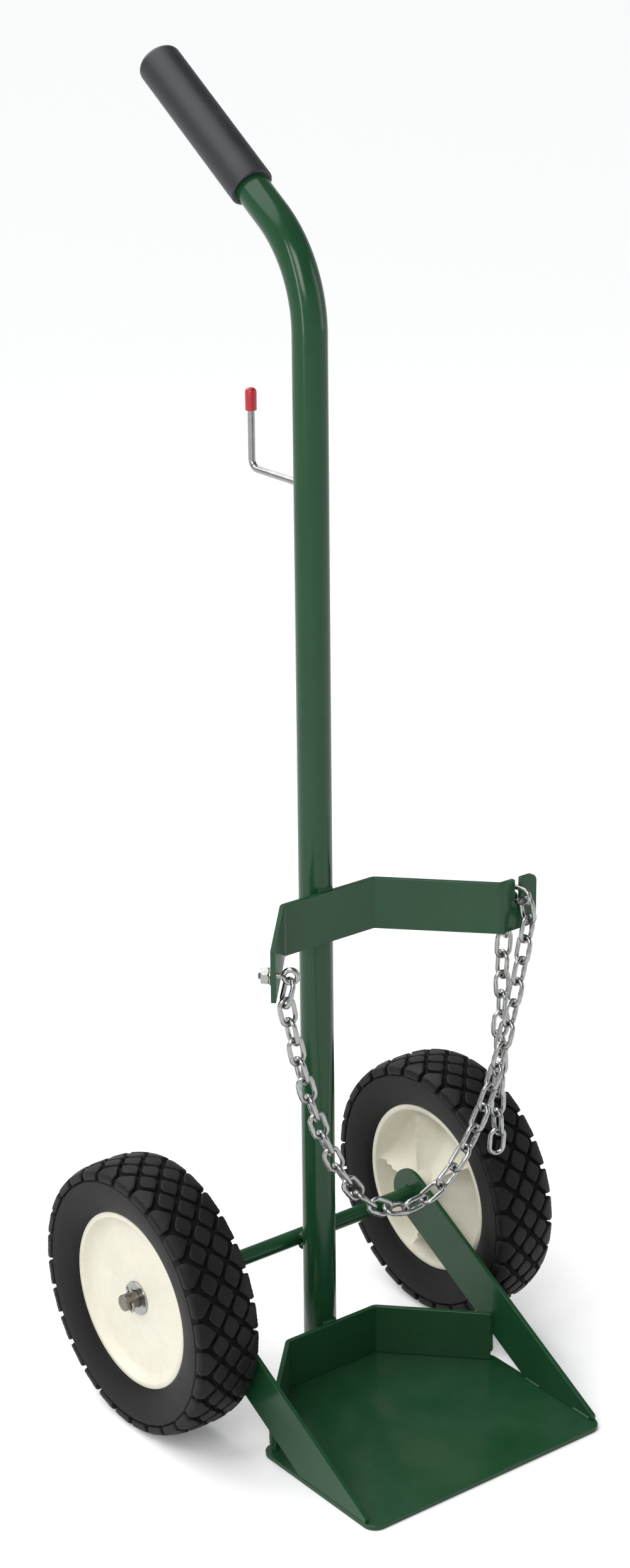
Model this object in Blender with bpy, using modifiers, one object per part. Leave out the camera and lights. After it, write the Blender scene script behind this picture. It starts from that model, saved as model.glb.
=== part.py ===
"""A single-cylinder hand truck: one bent mast tube, a toe plate, two cradle straps, two side bars, a
live pair of wheels on a fixed axle, a hose hook and a holding chain.

Metres, +Z up. The load stands at -Y, the handle leans back to +Y. X is across the truck. The origin is
on the floor, at the middle of the truck's own box. Run it with: blender --background --python part.py
"""

import math

import bmesh
import bpy
from mathutils import Matrix, Vector

# ---- Driving dimensions -------------------------------------------------------------------------
GAP = 0.0003  # left between pieces that touch

MAST_Y = 0.0  # every Y is given from the mast's axis; ORIGIN_SHIFT_Y then moves the whole truck
TUBE_RADIUS = 0.015875
TUBE_WALL = 0.0021
BEND_START_Z = 1.025
BEND_RADIUS = 0.117
BEND_ANGLE = math.radians(55.7)
GRIP_START = 0.149  # measured along the tube from the start of the bend
GRIP_LENGTH = 0.170
GRIP_RADIUS = 0.0204
GRIP_END_WALL = 0.007
GRIP_ROUND = 0.006

HOOK_Z = 0.889
HOOK_REACH_Y = 0.0878
HOOK_TOP_Z = 0.9625
HOOK_ROD_RADIUS = 0.0032
HOOK_BEND_RADIUS = 0.009
CAP_RADIUS = 0.0052
CAP_LENGTH = 0.0205

BAR = 0.00476  # thickness of the plate and of every flat bar
BAR_WIDTH = 0.0508
WING_ANGLE = math.radians(46)
CRADLE_HALF = 0.0525  # half of the strap's middle, between its two bends
BEND_INNER = 0.004
UPPER_STRAP_Z = 0.4590
UPPER_WING = 0.119
LEFT_HALF = 0.0515  # the upper strap's left side: its bend, its shorter wing and that wing's angle
LEFT_WING = 0.1035
LEFT_WING_ANGLE = math.radians(48.3)
FLANGE_LENGTH = 0.0435
SLOT_X = 0.0205  # from the flange's bend
SLOT_WIDTH = 0.0072
SLOT_DEPTH = 0.0254
FLANGE_ROUND = 0.007

PLATE_FRONT_Y = -0.257
PLATE_REAR_Y = -0.088
PLATE_ROUND = 0.013

AXLE_Y = 0.0275
TYRE_RADIUS = 0.1325
AXLE_RADIUS = 0.0079375
AXLE_HALF = 0.2115
STRUT_INNER_X = 0.135
STRUT_ANGLE = math.radians(29.05)
STRUT_TIP_Y = -0.246

WHEEL_X = 0.1795
TYRE_HALF = 0.033
TYRE_SHOULDER_DROP = 0.0085
TYRE_BORE = 0.0868
HUB_HALF = 0.0233
HUB_RIM_RADIUS = 0.0865
HUB_FACE = 0.014  # the outer face, outboard of the wheel's middle
HUB_BOSS_END = 0.0355  # the boss's end, inboard of the wheel's middle
HUB_BOSS_RADIUS = 0.0185
HUB_BORE = 0.0112
WASHER_RADIUS = 0.0165
WASHER_THICK = 0.0022
COTTER_RADIUS = 0.0016
COTTER_X = 0.2035

EYE_DROP = 0.003  # below the middle of the strap
EYE_FROM_END = 0.0095  # the eye bolt's distance from the end of the left wing
BOLT_RADIUS = 0.0031
NUT_ACROSS_FLATS = 0.0143
NUT_THICK = 0.0075
EYE_RADIUS = 0.0062  # to the middle of the eye's wire
CHAIN_RADIUS = 0.005
CHAIN_LENGTH = 0.642
CHAIN_POINTS = 40
TAIL_BOTTOM_Z = 0.2065
TAIL_POINTS = 14

ORIGIN_SHIFT_Y = 0.0136135  # moves everything, so that the truck's box is centred on the origin

STEPS = 40  # facets round a turned piece

# ---- Worked out from them -----------------------------------------------------------------------
STRAP_BACK_Y = -(TUBE_RADIUS + GAP)
STRAP_FRONT_Y = STRAP_BACK_Y - BAR
PLATE_HALF = STRUT_INNER_X + BAR
AXLE_Z = TYRE_RADIUS
GRIP_END = GRIP_START + GRIP_LENGTH
TRUCK = "hand_truck"


# ---- Helpers ------------------------------------------------------------------------------------
def clear_scene():
    for obj in list(bpy.data.objects):
        bpy.data.objects.remove(obj)


def new_collection(name):
    made = bpy.data.collections.new(name)
    bpy.context.scene.collection.children.link(made)
    return made


def new_material(name, colour, roughness, metallic=0.0):
    made = bpy.data.materials.new(name)
    made.use_nodes = True
    shader = made.node_tree.nodes["Principled BSDF"]
    shader.inputs["Base Color"].default_value = (*colour, 1.0)
    shader.inputs["Roughness"].default_value = roughness
    shader.inputs["Metallic"].default_value = metallic
    made.diffuse_color = (*colour, 1.0)
    return made


def add_object(name, data, material, place=Matrix.Identity(4)):
    obj = bpy.data.objects.new(name, data)
    parts.objects.link(obj)
    data.materials.append(material)
    obj.matrix_world = place
    return obj


def add_modifier(obj, kind, **settings):
    modifier = obj.modifiers.new(kind.title(), kind)
    for key, value in settings.items():
        setattr(modifier, key, value)
    return modifier


def poly_curve(name, points, radius, resolution, caps=True):
    curve = bpy.data.curves.new(name, "CURVE")
    curve.dimensions = "3D"
    curve.bevel_depth = radius
    curve.bevel_resolution = resolution
    curve.use_fill_caps = caps
    spline = curve.splines.new("POLY")
    spline.points.add(len(points) - 1)
    for item, point in zip(spline.points, points):
        item.co = (*point, 1.0)
    spline.use_smooth = True
    return curve


def add_rod(name, points, radius, material, resolution=3):
    """A solid round rod along the points."""
    return add_object(name, poly_curve(name, points, radius, resolution), material)


def add_pipe(name, points, radius, wall, material, resolution=6):
    """An open-ended tube along the points, its outside at the radius."""
    obj = add_object(name, poly_curve(name, points, radius, resolution, caps=False), material)
    add_modifier(obj, "SOLIDIFY", thickness=wall, offset=-1.0)
    return obj


def add_turned(name, profile, material, place, steps=STEPS):
    """A solid turned from a closed profile of (radius, height), listed down its outer side."""
    mesh = bpy.data.meshes.new(name)
    points = [(r, 0.0, h) for r, h in profile]
    count = len(points)
    edges = [(i, (i + 1) % count) for i in range(count)]
    mesh.from_pydata(points, edges, [])
    obj = add_object(name, mesh, material, place)
    add_modifier(
        obj, "SCREW", steps=steps, render_steps=steps, use_merge_vertices=True, merge_threshold=0.00001
    )
    return obj


def flat_curve(name, outline, thickness):
    """A 2D curve of the outline, filled and as thick as said, about its own plane."""
    curve = bpy.data.curves.new(name, "CURVE")
    curve.dimensions = "2D"
    curve.fill_mode = "BOTH"
    curve.extrude = thickness / 2
    spline = curve.splines.new("POLY")
    spline.points.add(len(outline) - 1)
    for item, (x, y) in zip(spline.points, outline):
        item.co = (x, y, 0.0, 1.0)
    spline.use_cyclic_u = True
    return curve


def as_mesh(obj):
    """The object again as a welded mesh object of the same name and place."""
    evaluated = obj.evaluated_get(bpy.context.evaluated_depsgraph_get())
    mesh = bpy.data.meshes.new_from_object(evaluated)
    work = bmesh.new()
    work.from_mesh(mesh)
    bmesh.ops.remove_doubles(work, verts=work.verts, dist=0.000001)
    bmesh.ops.recalc_face_normals(work, faces=work.faces)
    work.to_mesh(mesh)
    work.free()
    name, place, material = obj.name, obj.matrix_world.copy(), obj.data.materials[0]
    bpy.data.objects.remove(obj)
    mesh.materials.clear()
    return add_object(name, mesh, material, place)


def add_plate(name, outline, thickness, material, place):
    """A flat piece cut to the outline, as a mesh, its middle plane at the place."""
    obj = add_object(name, flat_curve(name, outline, thickness), material, place)
    bpy.context.view_layer.update()
    return as_mesh(obj)


def add_cutter(name, mesh_maker, place):
    mesh = bpy.data.meshes.new(name)
    work = bmesh.new()
    mesh_maker(work)
    work.to_mesh(mesh)
    work.free()
    obj = bpy.data.objects.new(name, mesh)
    cutters.objects.link(obj)
    obj.matrix_world = place
    obj.hide_render = True
    obj.display_type = "WIRE"
    return obj


def round_cutter(name, radius, length, place, segments=24):
    def make(work):
        bmesh.ops.create_cone(
            work, cap_ends=True, segments=segments, radius1=radius, radius2=radius, depth=length
        )

    return add_cutter(name, make, place)


def box_cutter(name, size, place):
    def make(work):
        bmesh.ops.create_cube(work, size=1.0, matrix=Matrix.Diagonal((*size, 1.0)))

    return add_cutter(name, make, place)


def cut(obj, *tools):
    for tool in tools:
        add_modifier(obj, "BOOLEAN", operation="DIFFERENCE", solver="EXACT", object=tool)
    return obj


def at(x, y, z):
    return Matrix.Translation((x, y, z))


def rounded(corners, segments=5):
    """The outline through (x, y, radius) corners, each rounded to its radius.

    An open line is rounded as well, if its first and last radius are zero.
    """
    outline = []
    count = len(corners)
    for i, (x, y, radius) in enumerate(corners):
        here = Vector((x, y))
        if radius == 0:
            outline.append(tuple(here))
            continue
        before = (Vector(corners[i - 1][:2]) - here).normalized()
        after = (Vector(corners[(i + 1) % count][:2]) - here).normalized()
        half = before.angle(after) / 2
        centre = here + (before + after).normalized() * (radius / math.sin(half))
        start = here + before * (radius / math.tan(half)) - centre
        turn = start.angle_signed(here + after * (radius / math.tan(half)) - centre)
        for step in range(segments + 1):
            spoke = start.copy()
            spoke.rotate(Matrix.Rotation(-turn * step / segments, 2))
            outline.append(tuple(centre + spoke))
    return outline


# ---- Places along the mast ------------------------------------------------------------------------
def mast_point(along):
    """The point and direction on the mast's centreline, this far past the start of its bend."""
    arc = BEND_RADIUS * BEND_ANGLE
    if along <= 0:
        return Vector((0, MAST_Y, BEND_START_Z + along)), Vector((0, 0, 1))
    angle = min(along / BEND_RADIUS, BEND_ANGLE)
    forward = Vector((0, math.sin(angle), math.cos(angle)))
    place = Vector(
        (0, MAST_Y + BEND_RADIUS * (1 - math.cos(angle)), BEND_START_Z + BEND_RADIUS * math.sin(angle))
    )
    return place + forward * max(0.0, along - arc), forward


def mast_path(end):
    arc = BEND_RADIUS * BEND_ANGLE
    stations = [-BEND_START_Z] + [arc * i / 12 for i in range(13)] + [end]
    return [mast_point(s)[0] for s in stations]


# ---- Welded frame ---------------------------------------------------------------------------------
def build_mast():
    add_pipe("mast_tube", mast_path(GRIP_END - GRIP_END_WALL - 0.002), TUBE_RADIUS, TUBE_WALL, green)


def build_grip():
    """A closed-ended sleeve pushed over the end of the tube."""
    place, forward = mast_point(GRIP_START)
    inner = TUBE_RADIUS + GAP
    mouth = 0.0015
    profile = [(0.0, GRIP_LENGTH)]
    for step in range(7):
        angle = math.pi / 2 * step / 6
        profile.append(
            (
                GRIP_RADIUS - GRIP_ROUND + GRIP_ROUND * math.sin(angle),
                GRIP_LENGTH - GRIP_ROUND + GRIP_ROUND * math.cos(angle),
            )
        )
    profile += [(GRIP_RADIUS, mouth), (GRIP_RADIUS - mouth, 0.0), (inner, 0.0)]
    profile += [(inner, GRIP_LENGTH - GRIP_END_WALL), (0.0, GRIP_LENGTH - GRIP_END_WALL)]
    turn = Vector((0, 0, 1)).rotation_difference(forward).to_matrix().to_4x4()
    add_turned_cup("handle_grip", profile, vinyl, Matrix.Translation(place) @ turn)


def add_turned_cup(name, profile, material, place):
    """As add_turned, for a profile whose two ends lie on the axis, so that it isn't closed there."""
    mesh = bpy.data.meshes.new(name)
    mesh.from_pydata(
        [(r, 0.0, h) for r, h in profile], [(i, i + 1) for i in range(len(profile) - 1)], []
    )
    obj = add_object(name, mesh, material, place)
    add_modifier(
        obj, "SCREW", steps=28, render_steps=28, use_merge_vertices=True, merge_threshold=0.00001
    )
    return obj


def arc_points(centre, radius, first, last, steps):
    """Points in the Y-Z plane round the centre, from one angle to another."""
    angles = [first + (last - first) * i / steps for i in range(steps + 1)]
    return [centre + Vector((0, math.cos(a), math.sin(a))) * radius for a in angles]


def build_hook():
    start = Vector((0, MAST_Y + TUBE_RADIUS + GAP, HOOK_Z))
    centre = Vector((0, MAST_Y + HOOK_REACH_Y - HOOK_BEND_RADIUS, HOOK_Z + HOOK_BEND_RADIUS))
    bend = arc_points(centre, HOOK_BEND_RADIUS, -math.pi / 2, 0.0, 6)
    top = Vector((0, MAST_Y + HOOK_REACH_Y, HOOK_TOP_Z - 0.003))
    add_rod("hose_hook", [start, *bend, top], HOOK_ROD_RADIUS, zinc)

    inner, tip = HOOK_ROD_RADIUS + GAP, 0.0027
    profile = [(0.0, 0.0)]
    for step in range(5):
        angle = math.pi / 2 * step / 4
        profile.append(
            (CAP_RADIUS - 0.003 + 0.003 * math.sin(angle), -0.003 + 0.003 * math.cos(angle))
        )
    profile += [(CAP_RADIUS, -CAP_LENGTH), (inner, -CAP_LENGTH), (inner, -tip), (0.0, -tip)]
    add_turned_cup("hook_cap", profile, red, at(0, MAST_Y + HOOK_REACH_Y, HOOK_TOP_Z))


def strap_outline(left, right, flange=0.0):
    """A strap seen from above: its front line from left to right, then its back line home.

    Each side is given as (distance of its bend from the middle, wing length, wing angle).
    """
    bends, ends = [], []
    for sign, (half, wing, angle) in ((-1, left), (1, right)):
        bends.append(Vector((sign * half, STRAP_FRONT_Y)))
        ends.append(bends[-1] + Vector((sign * math.cos(angle), -math.sin(angle))) * wing)
    front = [ends[0], *bends, ends[1]]
    if flange:
        front.append(front[-1] + Vector((flange, 0)))
    back = [offset_corner(front, i) for i in range(len(front))]
    radii = [0.0] + [BEND_INNER] * (len(front) - 2) + [0.0]
    corners = [(p.x, p.y, r) for p, r in zip(front, radii)]
    corners += [(p.x, p.y, r + BAR if r else 0.0) for p, r in reversed(list(zip(back, radii)))]
    # The flange's bend turns the other way, so its tight side is at the back.
    if flange:
        corners[3] = (*corners[3][:2], BEND_INNER + BAR)
        corners[len(front) + 1] = (*corners[len(front) + 1][:2], BEND_INNER)
    return rounded(corners), front


def offset_corner(line, i):
    """The line's point i moved one bar thickness back, square to the segments that meet there."""
    normals = []
    for a, b in ((i - 1, i), (i, i + 1)):
        if a >= 0 and b < len(line):
            run = (line[b] - line[a]).normalized()
            normals.append(Vector((-run.y, run.x)))
    middle = sum(normals, Vector((0, 0))).normalized()
    return line[i] + middle * (BAR / middle.dot(normals[0]))


def upper_outline():
    left = (LEFT_HALF, LEFT_WING, LEFT_WING_ANGLE)
    return strap_outline(left, (CRADLE_HALF, UPPER_WING, WING_ANGLE), FLANGE_LENGTH)


def build_upper_strap():
    outline, front = upper_outline()
    middle_z = UPPER_STRAP_Z + BAR_WIDTH / 2
    top_z = UPPER_STRAP_Z + BAR_WIDTH
    strap = add_plate("upper_cradle_strap", outline, BAR_WIDTH, green, at(0, 0, middle_z))
    flange_start = front[3]
    slot_x, slot_y = flange_start.x + SLOT_X, flange_start.y
    across = Matrix.Rotation(math.pi / 2, 4, "X")
    slot_end = round_cutter(
        "slot_end_cutter",
        SLOT_WIDTH / 2,
        0.03,
        at(slot_x, slot_y, top_z - SLOT_DEPTH + SLOT_WIDTH / 2) @ across,
    )
    slot_side = box_cutter(
        "slot_cutter",
        (SLOT_WIDTH, 0.03, SLOT_DEPTH),
        at(slot_x, slot_y, top_z - SLOT_DEPTH / 2 + SLOT_WIDTH / 2),
    )
    hole_place, inward = eye_place(front)
    eye_hole = round_cutter(
        "eye_hole_cutter", BOLT_RADIUS + GAP, 0.03, bolt_matrix(hole_place, inward)
    )
    corner_tools = []
    for name, z, side in (("top", top_z, 1), ("bottom", UPPER_STRAP_Z, -1)):
        corner_tools.append(corner_cutter(name, front[4].x, slot_y, z, side, across))
    cut(strap, slot_end, slot_side, eye_hole, *corner_tools)


def corner_cutter(name, end_x, y, z, side, across):
    """What lies outside the rounded corner at the flange's free end."""
    reach = 0.002
    corners = [(0.0, 0.0)]
    for step in range(7):
        angle = math.pi / 2 * step / 6
        corners.append((FLANGE_ROUND * (1 - math.sin(angle)), FLANGE_ROUND * (1 - math.cos(angle))))
    corners[0] = (-reach, -reach)
    corners[1] = (FLANGE_ROUND, -reach)
    corners.insert(2, (FLANGE_ROUND, 0.0))
    corners.append((-reach, FLANGE_ROUND))

    def make(work):
        ring = [work.verts.new((end_x - u, 0.015, z - side * v)) for u, v in corners]
        face = work.faces.new(ring)
        made = bmesh.ops.extrude_face_region(work, geom=[face])
        moved = [v for v in made["geom"] if isinstance(v, bmesh.types.BMVert)]
        bmesh.ops.translate(work, verts=moved, vec=(0, -0.03, 0))
        bmesh.ops.recalc_face_normals(work, faces=work.faces)

    return add_cutter(f"flange_{name}_cutter", make, at(0, y, 0))


def lower_wing():
    """The wing whose square end just meets the strut with its back corner."""
    corner = STRUT_INNER_X - GAP - BAR * math.sin(WING_ANGLE)
    return (corner - CRADLE_HALF) / math.cos(WING_ANGLE)


def build_lower_strap():
    side = (CRADLE_HALF, lower_wing(), WING_ANGLE)
    outline, _ = strap_outline(side, side)
    z = BAR + GAP + BAR_WIDTH / 2
    add_plate("lower_cradle_strap", outline, BAR_WIDTH, green, at(0, 0, z))


def build_toe_plate():
    """Square in front, and cut at the back to follow the lower strap."""
    back_x = CRADLE_HALF - BAR * math.tan(WING_ANGLE / 2)
    reach = (STRAP_BACK_Y - PLATE_REAR_Y) / math.tan(WING_ANGLE)
    half = [
        (PLATE_HALF, PLATE_FRONT_Y, PLATE_ROUND),
        (PLATE_HALF, PLATE_REAR_Y, PLATE_ROUND),
        (back_x + reach + BAR, PLATE_REAR_Y, 0.0),
        (back_x + BAR, STRAP_BACK_Y, 0.0),
    ]
    mirrored = [(-x, y, r) for x, y, r in reversed(half)]
    add_plate("toe_plate", rounded(half + mirrored), BAR, green, at(0, 0, BAR / 2))


def build_struts():
    """A flat bar on each side, from the axle down to the plate's front corner."""
    along = Vector((-math.cos(STRUT_ANGLE), -math.sin(STRUT_ANGLE)))
    up = Vector((-math.sin(STRUT_ANGLE), math.cos(STRUT_ANGLE)))
    axle = Vector((AXLE_Y, AXLE_Z))
    half = BAR_WIDTH / 2
    foot_z = BAR + GAP
    upper, lower = axle + up * half, axle - up * half
    tip = upper + along * ((STRUT_TIP_Y - upper.x) / along.x)
    heel = lower + along * ((foot_z - lower.y) / along.y)
    outline = [tip, Vector((STRUT_TIP_Y, foot_z)), heel]
    start = math.atan2(-up.y, -up.x)
    for step in range(13):
        angle = start + math.pi * step / 12
        outline.append(axle + Vector((math.cos(angle), math.sin(angle))) * half)
    # The outline's plane is Y-Z: its own X is the truck's Y, and its own Y is up.
    stand = Matrix(((0, 0, 1, 0), (1, 0, 0, 0), (0, 1, 0, 0), (0, 0, 0, 1)))
    sideways = Matrix.Rotation(math.pi / 2, 4, "Y")
    for side, sign in (("left", -1), ("right", 1)):
        x = sign * (STRUT_INNER_X + BAR / 2)
        strut = add_plate(
            f"{side}_strut", [tuple(p) for p in outline], BAR, green, at(x, 0, 0) @ stand
        )
        hole = round_cutter(
            f"{side}_strut_cutter", AXLE_RADIUS + GAP, 0.02, at(x, AXLE_Y, AXLE_Z) @ sideways, 32
        )
        cut(strut, hole)


def build_axle():
    sideways = Matrix.Rotation(math.pi / 2, 4, "Y")
    chamfer = 0.0012
    end, radius = AXLE_HALF, AXLE_RADIUS
    profile = [(0.0, end), (radius - chamfer, end), (radius, end - chamfer)]
    profile += [(radius, -end + chamfer), (radius - chamfer, -end), (0.0, -end)]
    axle = add_turned_cup("axle", profile, steel, at(0, AXLE_Y, AXLE_Z) @ sideways)
    for side, sign in (("left", -1), ("right", 1)):
        pin_hole = round_cutter(
            f"{side}_cotter_cutter",
            COTTER_RADIUS + GAP,
            0.03,
            at(sign * COTTER_X, AXLE_Y, AXLE_Z),
            16,
        )
        cut(axle, pin_hole)


# ---- Wheels -----------------------------------------------------------------------------------------
def tyre_profile():
    """Down the outer side: the tread crowns a little and drops to the shoulders."""
    profile = []
    for step in range(7):
        share = 1 - step / 3
        drop = TYRE_SHOULDER_DROP * abs(share) ** 2.6
        profile.append((TYRE_RADIUS - drop, TYRE_HALF * share))
    side = [(0.118, 0.0325), (0.103, 0.0305), (0.091, 0.0265), (TYRE_BORE, HUB_HALF)]
    profile += [(r, -h) for r, h in side] + [(r, h) for r, h in reversed(side)]
    return profile


def hub_profile():
    """Rim, web and boss turned as one, its height measured outboard: shallow outside, deep inside."""
    rim, half, wall = HUB_RIM_RADIUS, HUB_HALF, 0.0065
    profile = [(rim, half - 0.001), (rim, -half + 0.001), (rim - 0.001, -half)]
    profile += [(rim - wall + 0.001, -half), (rim - wall, -half + 0.001), (rim - 0.0095, -0.001)]
    profile += [(rim - 0.018, 0.002), (HUB_BOSS_RADIUS + 0.012, -0.016)]
    profile += [(HUB_BOSS_RADIUS, -0.024), (HUB_BOSS_RADIUS - 0.001, -HUB_BOSS_END)]
    profile += [(HUB_BORE, -HUB_BOSS_END), (HUB_BORE, HUB_FACE), (rim - 0.0105, HUB_FACE)]
    profile += [(rim - 0.0072, HUB_FACE + 0.003), (rim - wall, half - 0.001)]
    return profile + [(rim - wall + 0.001, half), (rim - 0.001, half)]


def bushing_profile():
    """A sleeve in the hub's bore, running on the axle."""
    inner, outer = AXLE_RADIUS + GAP, HUB_BORE - GAP
    return [(outer, HUB_FACE), (outer, -HUB_BOSS_END), (inner, -HUB_BOSS_END), (inner, HUB_FACE)]


def washer_profile():
    half = WASHER_THICK / 2
    inner = AXLE_RADIUS + GAP
    return [(WASHER_RADIUS, half), (WASHER_RADIUS, -half), (inner, -half), (inner, half)]


def cotter_points(sign):
    """A split pin as one rod: down through the axle, then out and up against the axle's end."""
    low = AXLE_Z - AXLE_RADIUS - COTTER_RADIUS - 0.0006
    leg = AXLE_HALF + COTTER_RADIUS + 0.0006
    path = [
        (COTTER_X, AXLE_Z + AXLE_RADIUS + 0.0045, 0.0),
        (COTTER_X, low, 0.0028),
        (leg, low, 0.0028),
        (leg, AXLE_Z + 0.0065, 0.0),
    ]
    return [Vector((sign * x, AXLE_Y, z)) for x, z in rounded(path)]


def build_wheel(side, sign):
    """The tyre, hub and bushing turn together; washers and the split pin stay on the axle."""
    turn = Matrix.Rotation(sign * math.pi / 2, 4, "Y")
    place = at(sign * WHEEL_X, AXLE_Y, AXLE_Z) @ turn
    add_turned(f"{side}_tire", tyre_profile(), rubber, place)
    add_turned(f"{side}_hub", hub_profile(), plastic, place)
    add_turned(f"{side}_hub_bushing", bushing_profile(), steel, place, 28)
    seat = GAP + WASHER_THICK / 2
    for word, offset in (("inner", -HUB_BOSS_END - seat), ("outer", HUB_FACE + seat)):
        x = sign * (WHEEL_X + offset)
        add_turned(
            f"{side}_{word}_washer", washer_profile(), zinc, at(x, AXLE_Y, AXLE_Z) @ turn, 28
        )
    add_rod(f"{side}_cotter_pin", cotter_points(sign), COTTER_RADIUS, zinc, 2)


# ---- Chain -------------------------------------------------------------------------------------------
def eye_place(front):
    """Where the eye bolt crosses the left wing's front face, and the wing's inward normal."""
    run = (front[1] - front[0]).normalized()
    inward = Vector((run.y, -run.x, 0))
    point = front[0] + run * EYE_FROM_END
    return Vector((point.x, point.y, UPPER_STRAP_Z + BAR_WIDTH / 2 - EYE_DROP)), inward


def bolt_matrix(place, inward):
    """A frame at the place, its Z along the inward normal."""
    turn = Vector((0, 0, 1)).rotation_difference(inward).to_matrix().to_4x4()
    return Matrix.Translation(place) @ turn


def eye_centre(place, inward):
    return place + inward * (EYE_RADIUS + 2 * BOLT_RADIUS)


def build_eye_bolt(front):
    """A bolt whose inner end is bent to an upright eye, held by a washer and a nut outside."""
    place, inward = eye_place(front)
    centre = eye_centre(place, inward)
    shank = place - inward * (BAR + 0.0012 + 3 * GAP + NUT_THICK + 0.0022)
    points = [shank, place]
    for step in range(17):
        angle = math.pi + math.radians(325) * step / 16
        points.append(centre + (inward * math.cos(angle) + Vector((0, 0, math.sin(angle)))) * EYE_RADIUS)
    add_rod("chain_eye_bolt", points, BOLT_RADIUS - 0.0006, zinc, 3)

    washer_middle = place - inward * (BAR + GAP + 0.0006)
    washer = [(0.0085, 0.0006), (0.0085, -0.0006)]
    washer += [(BOLT_RADIUS + GAP, -0.0006), (BOLT_RADIUS + GAP, 0.0006)]
    add_turned("eye_bolt_washer", washer, zinc, bolt_matrix(washer_middle, inward), 24)

    nut_middle = washer_middle - inward * (0.0006 + GAP + NUT_THICK / 2)
    half, outer = NUT_THICK / 2, NUT_ACROSS_FLATS / 2 / math.cos(math.pi / 6)
    nut = [(outer, half), (outer, -half), (BOLT_RADIUS + GAP, -half), (BOLT_RADIUS + GAP, half)]
    add_turned("eye_bolt_nut", nut, zinc, bolt_matrix(nut_middle, inward), 6)
    return centre


def hanging_line(start, end, length, count):
    """Points on the curve that a chain of that length takes between two held ends."""
    run = Vector((end.x - start.x, end.y - start.y, 0))
    span, rise = run.length, end.z - start.z
    run.normalize()
    goal = math.sqrt(length**2 - rise**2)
    low, high = 0.001, 10.0
    for _ in range(200):
        scale = (low + high) / 2
        if 2 * scale * math.sinh(span / (2 * scale)) > goal:
            low = scale
        else:
            high = scale
    middle = span / 2 - scale * math.asinh(rise / (2 * scale * math.sinh(span / (2 * scale))))
    base = start.z - scale * math.cosh(middle / scale)
    first, last = scale * math.sinh(-middle / scale), scale * math.sinh((span - middle) / scale)
    points = []
    for i in range(count):
        arc = first + (last - first) * i / (count - 1)
        x = scale * math.asinh(arc / scale)
        height = base + scale * math.cosh(x / scale)
        points.append(Vector((start.x, start.y, height)) + run * (x + middle))
    return points


def chain_ends(eye, front):
    """Where the chain leaves the eye, where it meets the slot, and where its spare end hangs from."""
    slot = Vector((front[3].x + SLOT_X, front[3].y, UPPER_STRAP_Z + BAR_WIDTH - SLOT_DEPTH))
    start = eye - Vector((0, 0, EYE_RADIUS))
    end = slot + Vector((0, -0.0095, 0.006))
    tail = slot + Vector((-0.0055, BAR + 0.0165, -0.004))
    return start, end, tail


def build_chain(eye, front):
    """The chain as plain rods, each with its origin where it hangs from.

    The span's first and last steps are left out, so that it swings clear of the eye and the slot.
    """
    start, end, tail = chain_ends(eye, front)
    line = hanging_line(start, end, CHAIN_LENGTH, CHAIN_POINTS)[1:-1]
    drop = (tail.z - TAIL_BOTTOM_Z) / (TAIL_POINTS - 1)
    hung = [tail - Vector((0, 0, drop * i)) for i in range(TAIL_POINTS)]
    for name, origin, points in (("chain_span", start, line), ("chain_tail", tail, hung)):
        rod = add_rod(name, [p - origin for p in points], CHAIN_RADIUS, zinc, 2)
        rod.location = origin


# ---- The truck -----------------------------------------------------------------------------------------
clear_scene()
parts = new_collection(TRUCK)
cutters = new_collection("cutters")
green = new_material("green_enamel", (0.028, 0.105, 0.045), 0.28)
vinyl = new_material("black_vinyl", (0.035, 0.038, 0.042), 0.55)
zinc = new_material("zinc_plate", (0.62, 0.62, 0.60), 0.28, 1.0)
steel = new_material("bare_steel", (0.42, 0.42, 0.41), 0.35, 1.0)
red = new_material("red_vinyl", (0.55, 0.02, 0.03), 0.4)
rubber = new_material("black_rubber", (0.022, 0.023, 0.024), 0.75)
plastic = new_material("cream_plastic", (0.72, 0.70, 0.60), 0.45)

upper_front = upper_outline()[1]
build_mast()
build_grip()
build_hook()
build_upper_strap()
build_lower_strap()
build_toe_plate()
build_struts()
build_axle()
for wheel_side, wheel_sign in (("left", -1), ("right", 1)):
    build_wheel(wheel_side, wheel_sign)
build_chain(build_eye_bolt(upper_front), upper_front)
bpy.context.view_layer.update()
for piece in (*parts.objects, *cutters.objects):
    piece.matrix_world = at(0, ORIGIN_SHIFT_Y, 0) @ piece.matrix_world
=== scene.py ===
"""The looks of a single-cylinder hand truck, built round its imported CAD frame.

Lengths are in metres. Pieces are first laid out with the mast's axis as the origin, -Y towards the
load, and then moved to where the frame has the mast.
"""

from __future__ import annotations

import logging
import math
from collections.abc import Callable, Sequence
from dataclasses import dataclass, field
from enum import Enum

import bmesh
import bpy
import numpy as np
from mathutils import Matrix, Vector, noise

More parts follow.
